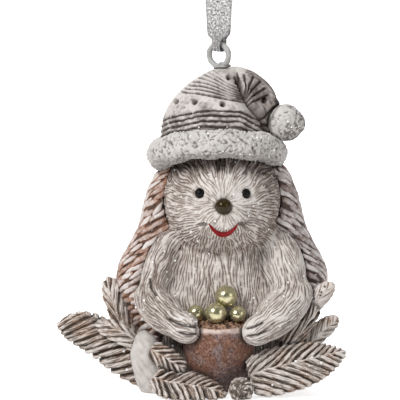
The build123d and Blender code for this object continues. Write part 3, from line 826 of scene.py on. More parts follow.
class FIGURINE_OT_fur(bpy.types.Operator):
    """Carves the fur of the head, torso and arms as one skin and parts it into their pieces"""

    bl_idname = "figurine.fur"
    bl_label = "Fur"

    def execute(self, context):
        mesh, points, normals = grown(FUR_NODES, sizes().voxel / MM, FUR_ROUNDS, FUR_FILLET)
        links = links_of(mesh)
        label = self.nearest_node(points)
        head, torso = label == 0, label == 1
        across, down = in_photo(points)
        near_nose = gap_to(points, NOSE)
        near_eyes = np.min([gap_to(points, eye) for eye in EYES], axis=0)
        below_brim = nearness(points, ("hat_brim",), BRIM_REACH) * head
        outside = (points[:, 1] < FUR_FRONT) & (nearness(points, ("quill_coat", "hat_brim"), 0.5) < 0.6)
        hands = ease(*HANDS_SPAN, np.abs(points[:, 0])) * ease(*HANDS_TOP, points[:, 2]) * (label > 1)

        # Fine strokes and broad gullies along the flow, softer on the face and the hands
        flow = along_skin(relaxed(self.flow(points, normals, label), links, 45), normals)
        flow = turned(flow, normals, 0.2 * ripple(points, 2.2, 3) + 0.08 * ripple(points, 1.0, 4))
        dice = np.random.default_rng(11)
        grain = dice.normal(size=len(points))
        fine = streaks(points, flow, relaxed(grain, links, 1), 1.8)
        broad = streaks(points, flow, relaxed(dice.normal(size=len(points)), links, 5), 3.2)
        smooth = head * (1 - ease(*MUZZLE, near_nose)) * 0.5
        smooth = np.maximum(smooth, head * (1 - ease(*EYE_ROUNDS, near_eyes)) * 0.85)
        locks = np.where(head, 0.12 + 0.3 * ease(*LOCKS_START, near_nose), np.where(torso, 0.4, 0.75))
        locks = np.maximum(locks, 1.6 * ease(0.1, 0.5, below_brim))
        wide, thick = np.where(head, *STROKE_WIDTHS), np.where(head, *STROKE_FADES)
        long = np.where(head, *STROKE_LENGTHS) * (1 + 0.2 * ripple(points, 3.0, 12))
        stroke = stroked(points, normals, flow, wide, long, dice, outside, STROKE_CORE, thick)
        stroke = np.maximum(stroke, 0.35 * ease(0.4, 0.05, fine))
        gully = ease(0.22, 0.03, broad)
        cut = sizes().fur_depth / MM * stroke * (1 - 0.7 * smooth)
        cut += sizes().lock_depth / MM * locks * gully
        cut *= 1 - 0.45 * hands
        fingers, dimple = self.fingers(points), self.dimples(points)
        thumb = 0.6 * ease(5, 1, beside_line(across, down, THUMB)) * (points[:, 1] < ARMS_FRONT)
        raise_skin(mesh, points, normals, thumb - cut - 0.35 * dimple - 0.65 * fingers)

        # Whitewash on the ridges, brighter on the muzzle and hands, with painted shade over the face's right
        # side;
        # the right arm a little lighter, the left arm and the head a little darker
        ridge = 0.9 - 0.85 * stroke * (1 - 0.55 * smooth) - 0.4 * gully * locks - 0.12 * (1 - fine)
        light = ease(*MUZZLE_LIGHT, near_nose) * head * 0.16 + 0.08 * hands
        light -= 0.16 * ease(*FACE_SHADE, across) * head
        light += 0.09 * (label == 3) - 0.06 * (label == 2) - 0.07 * head
        ridge = ridge + light + 0.06 * ripple(points, 4.0, 9)

        # Painted shade, partly antiquing, in the folds, under the brim, beside the arms, towards the torso's
        # foot and where other pieces touch
        fold = ease(0.03, 0.4, hollows(points, normals, links, 50))
        fold = np.maximum(fold, ease(0.2, 0.8, hollows(points, normals, links, 170)))
        fold *= 1 - 0.75 * ease(*CHEST_FADE, np.abs(across - CHEST_MIDDLE)) * ease(*CHEST_ROWS, down)
        touch = np.maximum(nearness(points, FUR_NEIGHBOURS, 1.3), nearness(points, ("quill_coat",), 0.7))
        touch = np.maximum(touch, torso * ease(*TORSO_FOOT, points[:, 2]))
        brow = ripple(points * [1, 1, 0.35], 0.55, 13, 12)
        arms = nearness(points, ("arm_left", "arm_right"), ARM_REACH)
        arms *= torso * ease(*CHEST_TOP, points[:, 2])
        shades_and_stains = [
            0.85 * ease(0.35, 1.0, touch),
            0.8 * fold,
            0.92 * ease(0.02, 0.4, below_brim + 0.1 * brow) * ease(0.8, 0.4, broad),
            0.45 * ease(0.0, 0.6, below_brim),
            0.6 * ease(0.1, 0.9, arms),
            0.75 * dimple,
            fingers,
        ]
        mark(mesh, ridge=ridge.clip(0, 1), grime=np.max(shades_and_stains, axis=0).clip(0, 1))
        fur = resin("whitewashed fur", paints().fur_groove, paints().fur_flank, paints().fur_ridge)
        for index, name in enumerate(FUR_NODES):
            piece(f"{name}_fur", self.part(mesh, label, index, outside), fur, (name,))
        bpy.data.meshes.remove(mesh)
        return {"FINISHED"}

    def nearest_node(self, points):
        """Which of the fur's solids each point belongs to."""
        gaps = []
        for name in FUR_NODES:
            surface = surface_of((name,))
            gaps.append([surface.find_nearest(Vector(point))[3] for point in points])
        return np.argmin(np.array(gaps), axis=0)

    def flow(self, points, normals, label):
        """The way that the fur lies: out from the nose, down the belly and along the arms."""
        way_down = np.column_stack([points[:, 0] * 0.012, points[:, 1] * 0, np.full(len(points), -1.0)])
        ways = [points - NOSE, way_down, limb_flow(points, ARM_LEFT), limb_flow(points, ARM_RIGHT)]
        return np.choose(label[:, None], [along_skin(way, normals) for way in ways])

    def dimples(self, points):
        """Shallow grey dimples at the mouth's corners."""
        across, down = in_photo(points)
        wide, high = DIMPLE_SIZE
        off = np.min([((across - x) / wide) ** 2 + ((down - y) / high) ** 2 for x, y in DIMPLES], axis=0)
        return (points[:, 1] < NOSE[1] + 6) * ease(1.1, 0.3, off)

    def fingers(self, points):
        """Dark lines between the fingers and in the bends of the arms."""
        return 0.95 * (points[:, 1] < ARMS_FRONT) * ease(1.9, 0.4, beside_lines(*in_photo(points), FINGERS))

    def part(self, mesh, label, index, outside):
        """The faces of one solid as a mesh of their own, thinned where the coat and hat cover it."""
        shell = bmesh.new()
        shell.from_mesh(mesh)
        covered = shell.verts.layers.int.new("covered")
        for vertex, shown in zip(shell.verts, outside):
            vertex[covered] = not shown
        others = [face for face in shell.faces if label[face.verts[0].index] != index]
        bmesh.ops.delete(shell, geom=others, context="FACES")
        hidden = [number for number, vertex in enumerate(shell.verts) if vertex[covered]]
        shell.verts.layers.int.remove(covered)
        triangles = 2 * len(shell.faces)
        made = finished(shell, "part")
        if triangles < MOST_TRIANGLES:
            return made
        carrier = placed("carrier", made)
        carrier.vertex_groups.new(name="hidden").add(hidden, 1.0, "REPLACE")
        modify(carrier, "fewer", "DECIMATE", vertex_group="hidden", ratio=MOST_TRIANGLES / triangles)
        thinned = applied(carrier)
        bpy.data.meshes.remove(made)
        return thinned


LEG_NEIGHBOURS = ("torso", "arm_left", "pot", "sprig_front_bud", "sprig_left_small")


class FIGURINE_OT_leg(bpy.types.Operator):
    """Shapes the smooth whitewashed leg"""

    bl_idname = "figurine.leg"
    bl_label = "Leg"

    def execute(self, context):
        mesh, points, normals = grown(("leg_left",), *GROWTH["leg"])
        raise_skin(mesh, points, normals, ripple(points, 2.2, 21) * 0.1 + ripple(points, 0.7, 22) * 0.03)
        # Painted shade, partly antiquing, where the leg meets the pieces beside it
        grime = 0.8 * ease(0.3, 1, nearness(points, LEG_NEIGHBOURS, 1.2))
        mark(mesh, ridge=(0.72 + 0.22 * ripple(points, 0.9, 23)).clip(0, 1), grime=grime)
        piece("leg_left_skin", mesh, resin("whitewashed leg", *LEG_TONES), ("leg_left",))
        return {"FINISHED"}


# Quill coat


COAT_NEIGHBOURS = ("head", "torso", "arm_left", "arm_right", "hat_brim", "hat_crown")
# Where the coat turns from maroon to copper, towards the left, and from its front to its back, in millimetres
COPPER_SIDE = (-2, 6)
COAT_BACK = (-6, 14)
# How far the quills and their ground are sunk in the coat, and the quills beside other pieces, in millimetres
QUILL_SINK = 0.12
GROUND_SINK = 0.1
EDGE_SINK = 0.2
EDGE_REACH = 0.3
# The room of a quill on the coat, as shares of its width and length
QUILL_ROOM_SHARES = (0.78, 0.52)


class FIGURINE_OT_quills(bpy.types.Operator):
    """Rounds the coat and lays rows of quills over it"""

    bl_idname = "figurine.quills"
    bl_label = "Quills"

    def execute(self, context):
        mesh, points, normals = grown(("quill_coat",), *GROWTH["coat"])
        warmth = ease(*COPPER_SIDE, -points[:, 0])
        tones = (paints().stain_and_shade, paints().maroon, paints().quill_ridge)
        paint = resin("quill paint", *tones, warm=paints().copper, mottle=0.15)
        self.lay(points, normals, warmth, paint)
        raise_skin(mesh, points, normals, np.full(len(points), -GROUND_SINK))
        ridge = 0.12 + 0.1 * ripple(points, 1.0, 31)
        # The ground between the quills is evenly darkened: painted shade, partly antiquing
        mark(mesh, ridge=ridge, grime=np.full(len(points), 0.35), warm=warmth)
        piece("quill_coat_ground", mesh, paint, ("quill_coat",))
        return {"FINISHED"}

    def flow(self, points, normals):
        """Quills run outwards and down at the front, and straight down at the back."""
        back = ease(*COAT_BACK, points[:, 1])
        side = np.sign(points[:, 0])
        way = np.column_stack([side * (1 - back), 0.9 * (1 - back), -0.55 - 0.9 * back])
        return along_skin(way, normals)

    def lay(self, points, normals, warmth, paint):
        """Lays the quills, each clear of the others' middles and bent on to the coat."""
        flow = self.flow(points, normals)
        across = np.cross(normals, flow)
        front = ease(0.45, 0.8, -normals[:, 1])
        long, wide, high = sizes().quill_length / MM, sizes().quill_width / MM, sizes().quill_height / MM
        dice = np.random.default_rng(5)
        covered = surface_of(COAT_NEIGHBOURS)
        clear = [covered.find_nearest(Vector(point), 0.4)[0] is None for point in points]
        allowed = np.array(clear) & (points[:, 2] > 2)
        skin, roots = surface_of(("quill_coat",)), tree_of(points)
        coat = bmesh.new()
        single = self.single()
        ridge, grime, warm = [], [], []
        room = wide * QUILL_ROOM_SHARES[0], long * QUILL_ROOM_SHARES[1]
        for index in scattered(points, normals, flow, *room, dice, allowed):
            lean = Matrix.Rotation(-dice.uniform(0.02, 0.1), 3, "Y")
            lean = lean @ Matrix.Rotation(dice.normal(0, 0.045), 3, "Z")
            turn = Matrix((flow[index], across[index], normals[index])).transposed() @ lean
            reach = long * dice.uniform(0.8, 1.15) * (1 + 0.25 * front[index])
            broad, tall = wide * dice.uniform(0.85, 1.1), high * dice.uniform(0.8, 1.1)
            start = len(coat.verts)
            coat.from_mesh(single)
            coat.verts.ensure_lookup_table()
            fresh = coat.verts[start:]
            heights = np.array([vertex.co.z for vertex in fresh])
            ends = np.array([vertex.co.x for vertex in fresh])
            tone = dice.uniform(0.6, 1.05)
            ridge += list(tone * ease(-0.14, 0.3, heights) * (0.75 + 0.25 * ease(-0.5, 0.2, ends)))
            # Each quill darkens on its underside: painted shade, partly antiquing
            grime += list(0.75 * ease(0.02, -0.15, heights))
            warm += [warmth[index] * dice.uniform(0.6, 1)] * len(fresh)
            for vertex in fresh:
                step = turn.col[0] * (vertex.co.x * reach)
                foot = skin.find_nearest(Vector(points[index]) + step)[0]
                out = Vector(normals[roots.find(foot)[1]])
                beside = out.cross(turn.col[0]).normalized()
                lift = vertex.co.z * tall + step.dot(Vector(normals[index])) - QUILL_SINK
                if covered.find_nearest(foot, EDGE_REACH)[0] is not None:
                    lift = min(lift, -EDGE_SINK)
                vertex.co = foot + out * lift + beside * (vertex.co.y * broad)
        mesh = finished(coat, "quills")
        mark(mesh, ridge=ridge, grime=grime, warm=warm)
        piece("quills", mesh, paint)

    def single(self):
        """One quill of unit size: a long drop that narrows to its tip."""
        drop = bmesh.new()
        bmesh.ops.create_uvsphere(drop, u_segments=8, v_segments=7, radius=0.5)
        bmesh.ops.rotate(drop, verts=drop.verts, matrix=Matrix.Rotation(math.pi / 2, 3, "Y"))
        for vertex in drop.verts:
            keen = 1 - 0.45 * abs(vertex.co.y) / 0.5
            vertex.co.z *= keen * (1 - 0.3 * max(0, 2 * vertex.co.x))
            vertex.co.y *= 1 - 0.35 * max(0, 2 * vertex.co.x)
        return finished(drop, "single quill")


# Knitted hat


# The crease where the tip folds over, and the hat's round holes, in pixels
CREASE = ((236, 79), (239, 87), (244, 97), (249, 106), (256, 114), (262, 122), (267, 134))
HOLES = ((175.8, 101.7), (194.5, 102.5), (222.6, 104.7), (263.8, 100.9), (228.9, 77.3))
HOLE_RADIUS = 3.2
# The place that the pleats run to and their bearings from it in degrees
PLEAT_FOCUS = (271, 108)
PLEATS = (190.4, 193.0, 195.8, 198.8, 201.9, 205.2, 208.6, 212.4)
# The slits of the fan beside the crease and the shade at its root, in pixels
SLITS = (
    ((237, 75), (239, 82), (243, 93)),
    ((244, 76), (245, 86), (245, 97)),
    ((253, 77), (249, 86), (246, 97)),
    ((260, 82), (252, 90), (247, 98)),
    ((264, 89), (255, 95), (248, 101)),
    ((267, 96), (258, 100), (250, 104)),
    ((283, 102), (273, 108), (263, 119)),
)
FAN_ROOT = (248, 99)
FAN_RADIUS = 13
# The pompom's middle, the column from which the knitted rows dip and how many they dip for, in pixels
POMPOM = (284.7, 122.3)
DIP_START = 240
DIP_LENGTH = 30
# The columns over which the painted shade on the tip sets in, and the rows over which the painted shade under
# the crease sets in, in pixels
TIP_SHADE = (238, 250)
CREASE_SHADE = (84, 100)
# How far from them the pleats, slits, crease, bulge and the pompom's bed end and are full, in pixels
PLEAT_WIDTH = (1.3, 0.2)
PLEAT_SWELL = (96, 70)
# The pleats' painted shade, partly antiquing, fades over this reach
PLEAT_SHADE_REACH = (70, 25)
SLIT_WIDTH = (1.7, 0.2)
CREASE_WIDTH = (3.4, 0.6)
# Painted shade under and beside the crease
CREASE_UNDER = (9, 1)
CREASE_BESIDE = (13, 3)
BULGE_WIDTH = (12, 3.5)
BULGE_END = (19, 26)
BED_WIDTH = (19.5, 14)
BED_BACK = (20, 15)
# Their depths and heights, and how far the hat is set back behind the pompom, in millimetres
CREASE_DEPTH = 2.1
HOLE_DEPTH = 1.4
BED_DEPTH = 0.9
BULGE_HEIGHT = 0.6
SET_BACK = 1.9
# The heights above the brim's middle of the knitted rows, of the top of their band and of the folds, in
# millimetres
KNIT_ROWS = (3.5, 4.8, 6.1, 7.3)
BAND_TOP = (8.6, 6.8)
FOLDS_START = (8.0, 9.5)
HAT_NEIGHBOURS = ("hat_brim", "hat_pompom", "ring_collar")


class FIGURINE_OT_hat(bpy.types.Operator):
    """Carves the knitted hat with its rows, pleats, crease and holes"""

    bl_idname = "figurine.hat"
    bl_label = "Knitted hat"

    def execute(self, context):
        mesh, points, normals = grown(("hat_crown", "hat_tail"), *GROWTH["hat"])
        across, down = in_photo(points)
        front = ease(-0.1, 0.35, -normals[:, 1])
        height = (points - BRIM_MIDDLE) @ BRIM_AXIS
        on_tail = self.on_tail(points)

        # Knitted rows above the brim, and soft folds at the back
        dip = 0.1 * (across - DIP_START).clip(0, DIP_LENGTH) * front
        rows = self.rows(points, height, dip) * (1 - on_tail)
        back = ease(0.1, -0.3, -normals[:, 1]) * ease(*FOLDS_START, height)
        around = np.arctan2(points[:, 1] - BRIM_MIDDLE[1], points[:, 0])
        folds = (0.5 + 0.5 * np.sin(around * 16 + 0.6 * ripple(points, 6, 47))) ** 5 * back
        knit = ripple(points, 0.5, 44) * 0.5 + 0.5

        # Pleats that run to one place, left of the crease
        bearing = np.degrees(np.arctan2(down - PLEAT_FOCUS[1], across - PLEAT_FOCUS[0])) % 360
        bearing += 0.5 * ripple(points, 4.0, 48)
        reach = pixels_from(across, down, PLEAT_FOCUS)
        left = across < np.interp(down, [y for _, y in CREASE], [x for x, _ in CREASE])
        within = np.interp(bearing, PLEATS, range(len(PLEATS)))
        swell = np.sin(math.pi * (within % 1)) * left * front * ease(*PLEAT_SWELL, reach)
        off = np.min([np.abs(bearing - angle) for angle in PLEATS], axis=0) * math.pi / 180 * reach
        pleats = ease(*PLEAT_WIDTH, off) * left * front

        # The crease, the slits and the bulge right of it, and the holes
        slits = ease(*SLIT_WIDTH, beside_lines(across, down, SLITS)) * front
        beside = beside_line(across, down, CREASE)
        crease = ease(*CREASE_WIDTH, beside) * front
        ball = pixels_from(across, down, POMPOM)
        bulge = ease(*BULGE_WIDTH, beside) * front * ~left * ease(*BULGE_END, ball)
        holes = [ease(1.05, 0.75, pixels_from(across, down, hole) / HOLE_RADIUS) for hole in HOLES]
        holes = np.max(holes, axis=0) * ease(-0.4, 0, -normals[:, 1])
        cut = 1.15 * rows + 0.8 * pleats + 0.6 * folds + 1.1 * slits - 0.9 * swell
        cut = sizes().knit_depth / MM * cut + CREASE_DEPTH * crease + HOLE_DEPTH * holes
        cut += BED_DEPTH * ease(*BED_WIDTH, ball) * front - BULGE_HEIGHT * bulge
        cut += 0.06 * knit * (0.5 + 0.8 * ease(9, 6, height))
        points[:, 1] += SET_BACK * ease(*BED_BACK, ball) * front
        raise_skin(mesh, points, normals, -cut)

        # Whitewash on the ridges with painted shade over the tip's right part, and painted shade, partly
        # antiquing, in the rows, pleats, folds, slits, holes and crease, next to the brim and pompom, under
        # and beside the crease and at the fan's root
        band = ease(*BAND_TOP, height) * (1 - on_tail)
        ridge = 0.88 + 0.16 * ripple(points, 2.0, 45) - 0.28 * band
        ridge -= 0.42 * on_tail * ease(*TIP_SHADE, across)
        ridge -= 0.8 * np.max([rows, pleats * 0.85, folds * 0.8, slits * 0.7], axis=0) + 0.2 * (knit - 0.5)
        ridge += 0.15 * swell
        shades_and_stains = [
            0.95 * crease,
            0.95 * holes,
            0.8 * ease(0.05, 0.5, hollows(points, normals, links_of(mesh), 40)),
            0.8 * ease(0.3, 1, nearness(points, HAT_NEIGHBOURS, 0.9)),
            0.6 * ease(*CREASE_UNDER, beside) * front * ~left * ease(*CREASE_SHADE, down),
            0.75 * rows,
            0.5 * pleats * ease(*PLEAT_SHADE_REACH, reach),
            0.9 * slits,
            0.5 * ease(*CREASE_BESIDE, beside) * left * front,
            0.6 * ease(1, 0.3, pixels_from(across, down, FAN_ROOT) / FAN_RADIUS) * front,
        ]
        mark(mesh, ridge=ridge.clip(0, 1), grime=np.max(shades_and_stains, axis=0).clip(0, 1))
        paint = resin("whitewashed knit", paints().knit_groove, KNIT_FLANK, paints().knit_ridge)
        piece("hat_knit", mesh, paint, ("hat_crown", "hat_tail"))
        return {"FINISHED"}

    def on_tail(self, points):
        """1 on the hat's folded tip, fading to 0 beside it."""
        tail = surface_of(("hat_tail",))
        gap = np.array([tail.find_nearest(Vector(point), 2.0)[3] or 0 for point in points])
        return (gap > 0) * ease(1.0, 0.3, gap)

    def rows(self, points, height, dip):
        """The grooves of the uneven knitted rows."""
        wander = 0.16 * ripple(points, 5.0, 41) + 0.06 * ripple(points, 1.0, 42) + dip
        uneven = 0.36 + 0.1 * ripple(points, 1.8, 43)
        rows = [ease(uneven, 0.3 * uneven, np.abs(height + wander - row)) for row in KNIT_ROWS]
        return np.max(rows, axis=0) * (0.8 + 0.2 * ripple(points, 1.0, 143).clip(-1, 1))


# Brim, pompom and hanging ring


BRIM_NEIGHBOURS = ("head", "quill_coat", "hat_crown", "hat_tail")
# The width of a tuft in millimetres, the seed of the tufts, their share of the full depth, how far the piece
# sits from its solid, in millimetres, and the solids that it touches
FLEECES = {
    "hat_brim": (0.85, 51, 1, (0, 0, 0), BRIM_NEIGHBOURS),
    "hat_pompom": (1.1, 52, 0.5, (-0.1, -0.9, 0), (*BRIM_NEIGHBOURS, "hat_brim")),
}
# The way to the light that the round pompom is brightest on
LIT_SIDE = np.array([-0.6, -0.45, 0.65])


class FIGURINE_OT_fleece(bpy.types.Operator):
    """Raises the tufts of the hat's brim and pompom"""

    bl_idname = "figurine.fleece"
    bl_label = "Brim and pompom"

    def execute(self, context):
        paint = resin("white fleece", paints().fleece_pit, FLEECE_FLANK, paints().fleece, mottle=0.15)
        for name, (tuft, seed, share, shift, neighbours) in FLEECES.items():
            mesh, points, normals = grown((name,), *GROWTH[name])
            bent = points + 0.22 * np.column_stack([ripple(points, 0.8, seed + step) for step in (1, 2, 3)])
            gap, _ = spots(bent, tuft, seed)
            lumps = ripple(bent, 0.5, seed + 6, 16) + 0.5 * ripple(points, 0.27, seed + 7, 12)
            tufts = 0.5 * ease(0.85, 0.15, gap) + 0.5 * ease(-1.0, 0.9, lumps)
            fuzz = ripple(points, 0.35, seed + 4) * 0.5 + 0.5
            points += normals * (0.2 * ripple(points, 2.6, seed + 8))[:, None]
            points += shift
            depth = sizes().fleece_depth / MM * share
            raise_skin(mesh, points, normals, depth * (tufts - 0.6) + 0.1 * (fuzz - 0.5))
            # A painted highlight on the pompom's side towards the light, and painted shade on the undersides
            # and, partly antiquing, where other pieces touch
            under = ease(-0.2, -0.9, normals[:, 2])
            lit = 1.3 * (unit(points - points.mean(0)) @ LIT_SIDE) if name == "hat_pompom" else 0.3
            ridge = -0.04 + 1.04 * ease(0.2, 0.84, tufts + 0.22 * lit) + 0.3 * (fuzz - 0.5) - 0.1 * under
            grime = 0.6 * ease(0.4, 1, nearness(points, neighbours, 0.9)) + 0.4 * under
            mark(mesh, ridge=ridge.clip(0, 1), grime=grime)
            piece(f"{name}_fleece", mesh, paint, (name,))
        return {"FINISHED"}


class FIGURINE_OT_eye_ring(bpy.types.Operator):
    """Paints the wire ring and shapes the collar that holds it"""

    bl_idname = "figurine.eye_ring"
    bl_label = "Hanging ring"

    def execute(self, context):
        paint = resin("white wire", *WIRE_TONES, grit=0.00003)
        for name, slot, seed in (("hanging_ring", "wire", 61), ("ring_collar", "trim", 62)):
            mesh, points, normals = grown((name,), *GROWTH[name])
            raise_skin(mesh, points, normals, 0.05 * ripple(points, 1.1, seed))
            # Painted shade, partly antiquing, where the wire meets the hat
            grime = 0.6 * ease(0.3, 1, nearness(points, ("hat_crown", "hat_tail"), 0.6))
            mark(mesh, ridge=(0.8 + 0.2 * ripple(points, 0.8, seed + 5)).clip(0, 1), grime=grime)
            piece(f"{name}_paint", mesh, paint, (name,))
        return {"FINISHED"}


# Face, pot and berries


# How far the mouth's corners are drawn up, and the eyes moved from their solids, in millimetres
LIP_LIFT = (0, -0.3, 0.6)
BEAD_SHIFTS = {"eye_left": (0, 0, -0.15), "eye_right": (-0.3, 0, -0.25)}


class FIGURINE_OT_face(bpy.types.Operator):
    """Paints the eyes, nose and mouth"""

    bl_idname = "figurine.face"
    bl_label = "Face"

    def execute(self, context):
        black = glossy("gloss black", GLOSS_BLACK, 0.12, 0.1)
        bronze = glossy("dark bronze", paints().nose, 0.1, 0.2)
        self.bead("eye_left", black, "eye")
        self.bead("eye_right", black, "eye")
        self.bead("nose", bronze, "nose")
        self.lips()
        return {"FINISHED"}

    def bead(self, name, material, slot):
        """A glossy bead with the slight flats of a pressed one."""
        low, high = node_box(name)
        middle = node_middle(name) + BEAD_SHIFTS.get(name, (0, 0, 0))
        mesh, points, normals = ball_skin(middle, (high - low)[0] / 2)
        raise_skin(mesh, points, normals, 0.02 * ripple(points, 1.6, 73))
        piece(f"{name}_bead", mesh, material, (name,))

    def lips(self):
        """The red crescent of the mouth with its corners drawn up."""
        mesh, points, normals = grown(("mouth",), *GROWTH["mouth"])
        low, high = node_box("mouth")
        corner = ((points[:, 0] - (low[0] + high[0]) / 2) / (high[0] - low[0]) * 2) ** 2
        points += corner[:, None] * LIP_LIFT
        raise_skin(mesh, points, normals, 0.02 + 0.04 * ripple(points, 0.9, 71))
        mark(mesh, ridge=(0.75 + 0.25 * ripple(points, 0.6, 72)).clip(0, 1), grime=np.zeros(len(points)))
        red = resin("painted red", *LIP_TONES, paints().mouth, grit=0.00003, gleam=0.2)
        piece("mouth_paint", mesh, red, ("mouth",))


# How far below the pot's top its pale rim starts and is full, in millimetres
RIM_FADE = (1.3, 0.5)
# The berries' radii and how far they rise over their solids, in millimetres
BERRIES = {"berry_front": 2.4, "berry_left": 1.98, "berry_right": 1.92, "berry_back": 1.9, "berry_top": 2.5}
BERRY_RISE = 0.6
# The spacing of the soil's grains and how far they stand out, in millimetres
GRAIN_SPACING = 0.75
GRAIN_HEIGHT = 0.35
POT_HOLDERS = ("torso", "arm_left", "arm_right", "leg_left")
POT_SPRIGS = ("sprig_front_bud", "sprig_front_long", "sprig_front_ball", "sprig_right_large")


class FIGURINE_OT_pot(bpy.types.Operator):
    """Shapes the earthen pot, its soil and the berries"""

    bl_idname = "figurine.pot"
    bl_label = "Pot and berries"

    def execute(self, context):
        self.pot()
        self.soil()
        self.berries()
        return {"FINISHED"}

    def pot(self):
        """The pot with a rounded pale rim."""
        mesh, points, normals = grown(("pot",), *GROWTH["pot"])
        top = node_box("pot")[1][2]
        wavy = points[:, 2] + 0.15 * ripple(points, 1.3, 84)
        rim = ease(top - RIM_FADE[0], top - RIM_FADE[1], wavy)
        bumps = 0.07 * ripple(points, 2.4, 81) + 0.03 * ripple(points, 0.6, 82) + 0.1 * rim
        raise_skin(mesh, points, normals, bumps)
        # Painted shade, partly antiquing, where the body, arms, leg and sprigs touch the pot
        touch = np.maximum(nearness(points, POT_HOLDERS, 1.4), nearness(points, POT_SPRIGS, 1.6))
        mark(mesh, rim=rim, grime=0.85 * ease(0.2, 1, touch))
        piece("pot_clay", mesh, self.terracotta(), ("pot",))

    def terracotta(self):
        """Speckled terracotta with a grey bloom, pale chips, a washed rim and painted shade, partly
        antiquing, where other pieces touch.
        """
        paint = Paint("speckled terracotta")
        bloom = paint.spread(paint.noise(0.0048, 5), 0.44, 0.58)
        base = paint.blend(bloom, paints().terracotta, paints().dust)
        dark = paint.spread(paint.noise(0.0065, 3), 0.5, 0.66, 0, 0.75)
        speckle = paint.spread(paint.noise(0.0005, 5, roughness=0.7), 0.42, 0.62)
        grains = paint.blend(speckle, paint.blend(dark, base, POT_SHADE), POT_SPECK)
        pale = paint.spread(paint.noise(0.0007, 4), 0.54, 0.68, 0, 0.7)
        worn = paint.spread(paint.noise(0.0012, 3), 0.35, 0.55, 0.45, 1)
        wash = paint.sum("MULTIPLY", paint.field("rim"), worn)
        edged = paint.blend(wash, paint.blend(pale, grains, POT_CHIP), paints().rim)
        paint.set(Base_Color=paint.blend(paint.field("grime"), edged, paints().stain_and_shade), Roughness=0.82)
        paint.relief(paint.noise(0.0004, 4, roughness=0.65), 0.00009)
        return paint.material

    def soil(self):
        """The heap of soil with its loose grains."""
        mesh, points, normals = grown(("pot_soil",), *GROWTH["soil"])
        gap, grain = spots(points, GRAIN_SPACING, 83)
        lumps = ease(0.8, 0.1, gap)
        raise_skin(mesh, points, normals, GRAIN_HEIGHT * (lumps - 0.6))
        tint = np.random.default_rng(84).uniform(0, 1, grain.max() + 1)[grain]
        # Painted shade, partly antiquing, between the grains
        mark(mesh, ridge=(lumps * (0.35 + 0.75 * tint)).clip(0, 1), grime=0.4 * (1 - lumps))
        piece("soil_grains", mesh, resin("grainy soil", *SOIL_TONES), ("pot_soil",))

    def berries(self):
        """Pearly berries with faint dents."""
        paint = Paint("pearly berry")
        patch = paint.spread(paint.noise(0.0011, 3), 0.4, 0.66, 0, 0.5)
        fleck = paint.spread(paint.noise(0.00035, 4, roughness=0.7), 0.55, 0.72, 0, 0.6)
        tint = paint.blend(patch, paints().berry, BERRY_OLIVE)
        paint.set(Base_Color=paint.blend(fleck, tint, BERRY_FLECK), Metallic=0.75)
        paint.set(Roughness=paint.spread(paint.noise(0.0008, 3), 0.35, 0.7, 0.14, 0.34))
        paint.relief(paint.noise(0.0006, 3), 0.00003)
        for name, radius in BERRIES.items():
            middle = node_middle(name)
            middle[2] = node_box(name)[1][2] - (radius - BERRY_RISE)
            mesh, points, normals = ball_skin(middle, radius)
            raise_skin(mesh, points, normals, 0.03 * ripple(points, 1.3, len(name)))
            piece(f"{name}_pearl", mesh, paint.material, (name,))


# Fir sprigs


# Each sprig: the way from root to tip, where its midrib runs between its edges, the needles' slant from it in
# degrees, their pitch in millimetres, the share of the full groove depth and how much duller its whitewash is
SPRIGS = {
    "sprig_left_large": ((-1, 0, 0.6), 0.75, 52, 1.5, 1.1, 0.08),
    "sprig_left_small": ((-1, 0, 0.5), 0.3, 26, 1.15, 0.6, 0),
    "sprig_left_upright": ((-0.4, 0, 1), 0.0, 24, 1.35, 0.7, 0),
    "sprig_front_bud": ((1, 0, -0.6), 0.0, 36, 1.05, 0.9, 0.1),
    "sprig_front_long": ((1, 0, -0.2), -0.25, 56, 1.25, 1.1, 0.12),
    "sprig_right_large": ((1, 0, 0.3), 0.0, 33, 1.3, 1.1, 0),
    "sprig_right_top": ((0.6, 0, 1), 0.0, 20, 1.5, 0.12, 0.08),
    "sprig_right_middle": ((0.7, 0, 1), 0.0, 12, 0.95, 1.1, 0.05),
    "sprig_right_back": ((1, 0, 0.7), 0.0, 40, 1.1, 0.45, 0),
}
SPRIG_NEIGHBOURS = ("torso", "arm_left", "arm_right", "leg_left", "pot", "quill_coat")
BUD_NEIGHBOURS = ("pot", "sprig_front_long", "sprig_right_large")
# Where between its edges a needle is highest, and the stretches that a leaf is measured in
NEEDLE_CREST = 0.62
LEAF_STEPS = 25
# The spacing and length of the strokes on the needles and on the bud, in millimetres
HAIR = (0.4, 2.6)
BUD_HAIR = (0.4, 1.3)
# The sprig with dark pits, the pits' places and how far from these they end and are full, in pixels
PITTED = "sprig_right_top"
PITS = ((321, 292), (320, 295), (324.5, 286), (315, 286), (329, 280), (313, 298))
PIT_WIDTH = (1.6, 0.6)


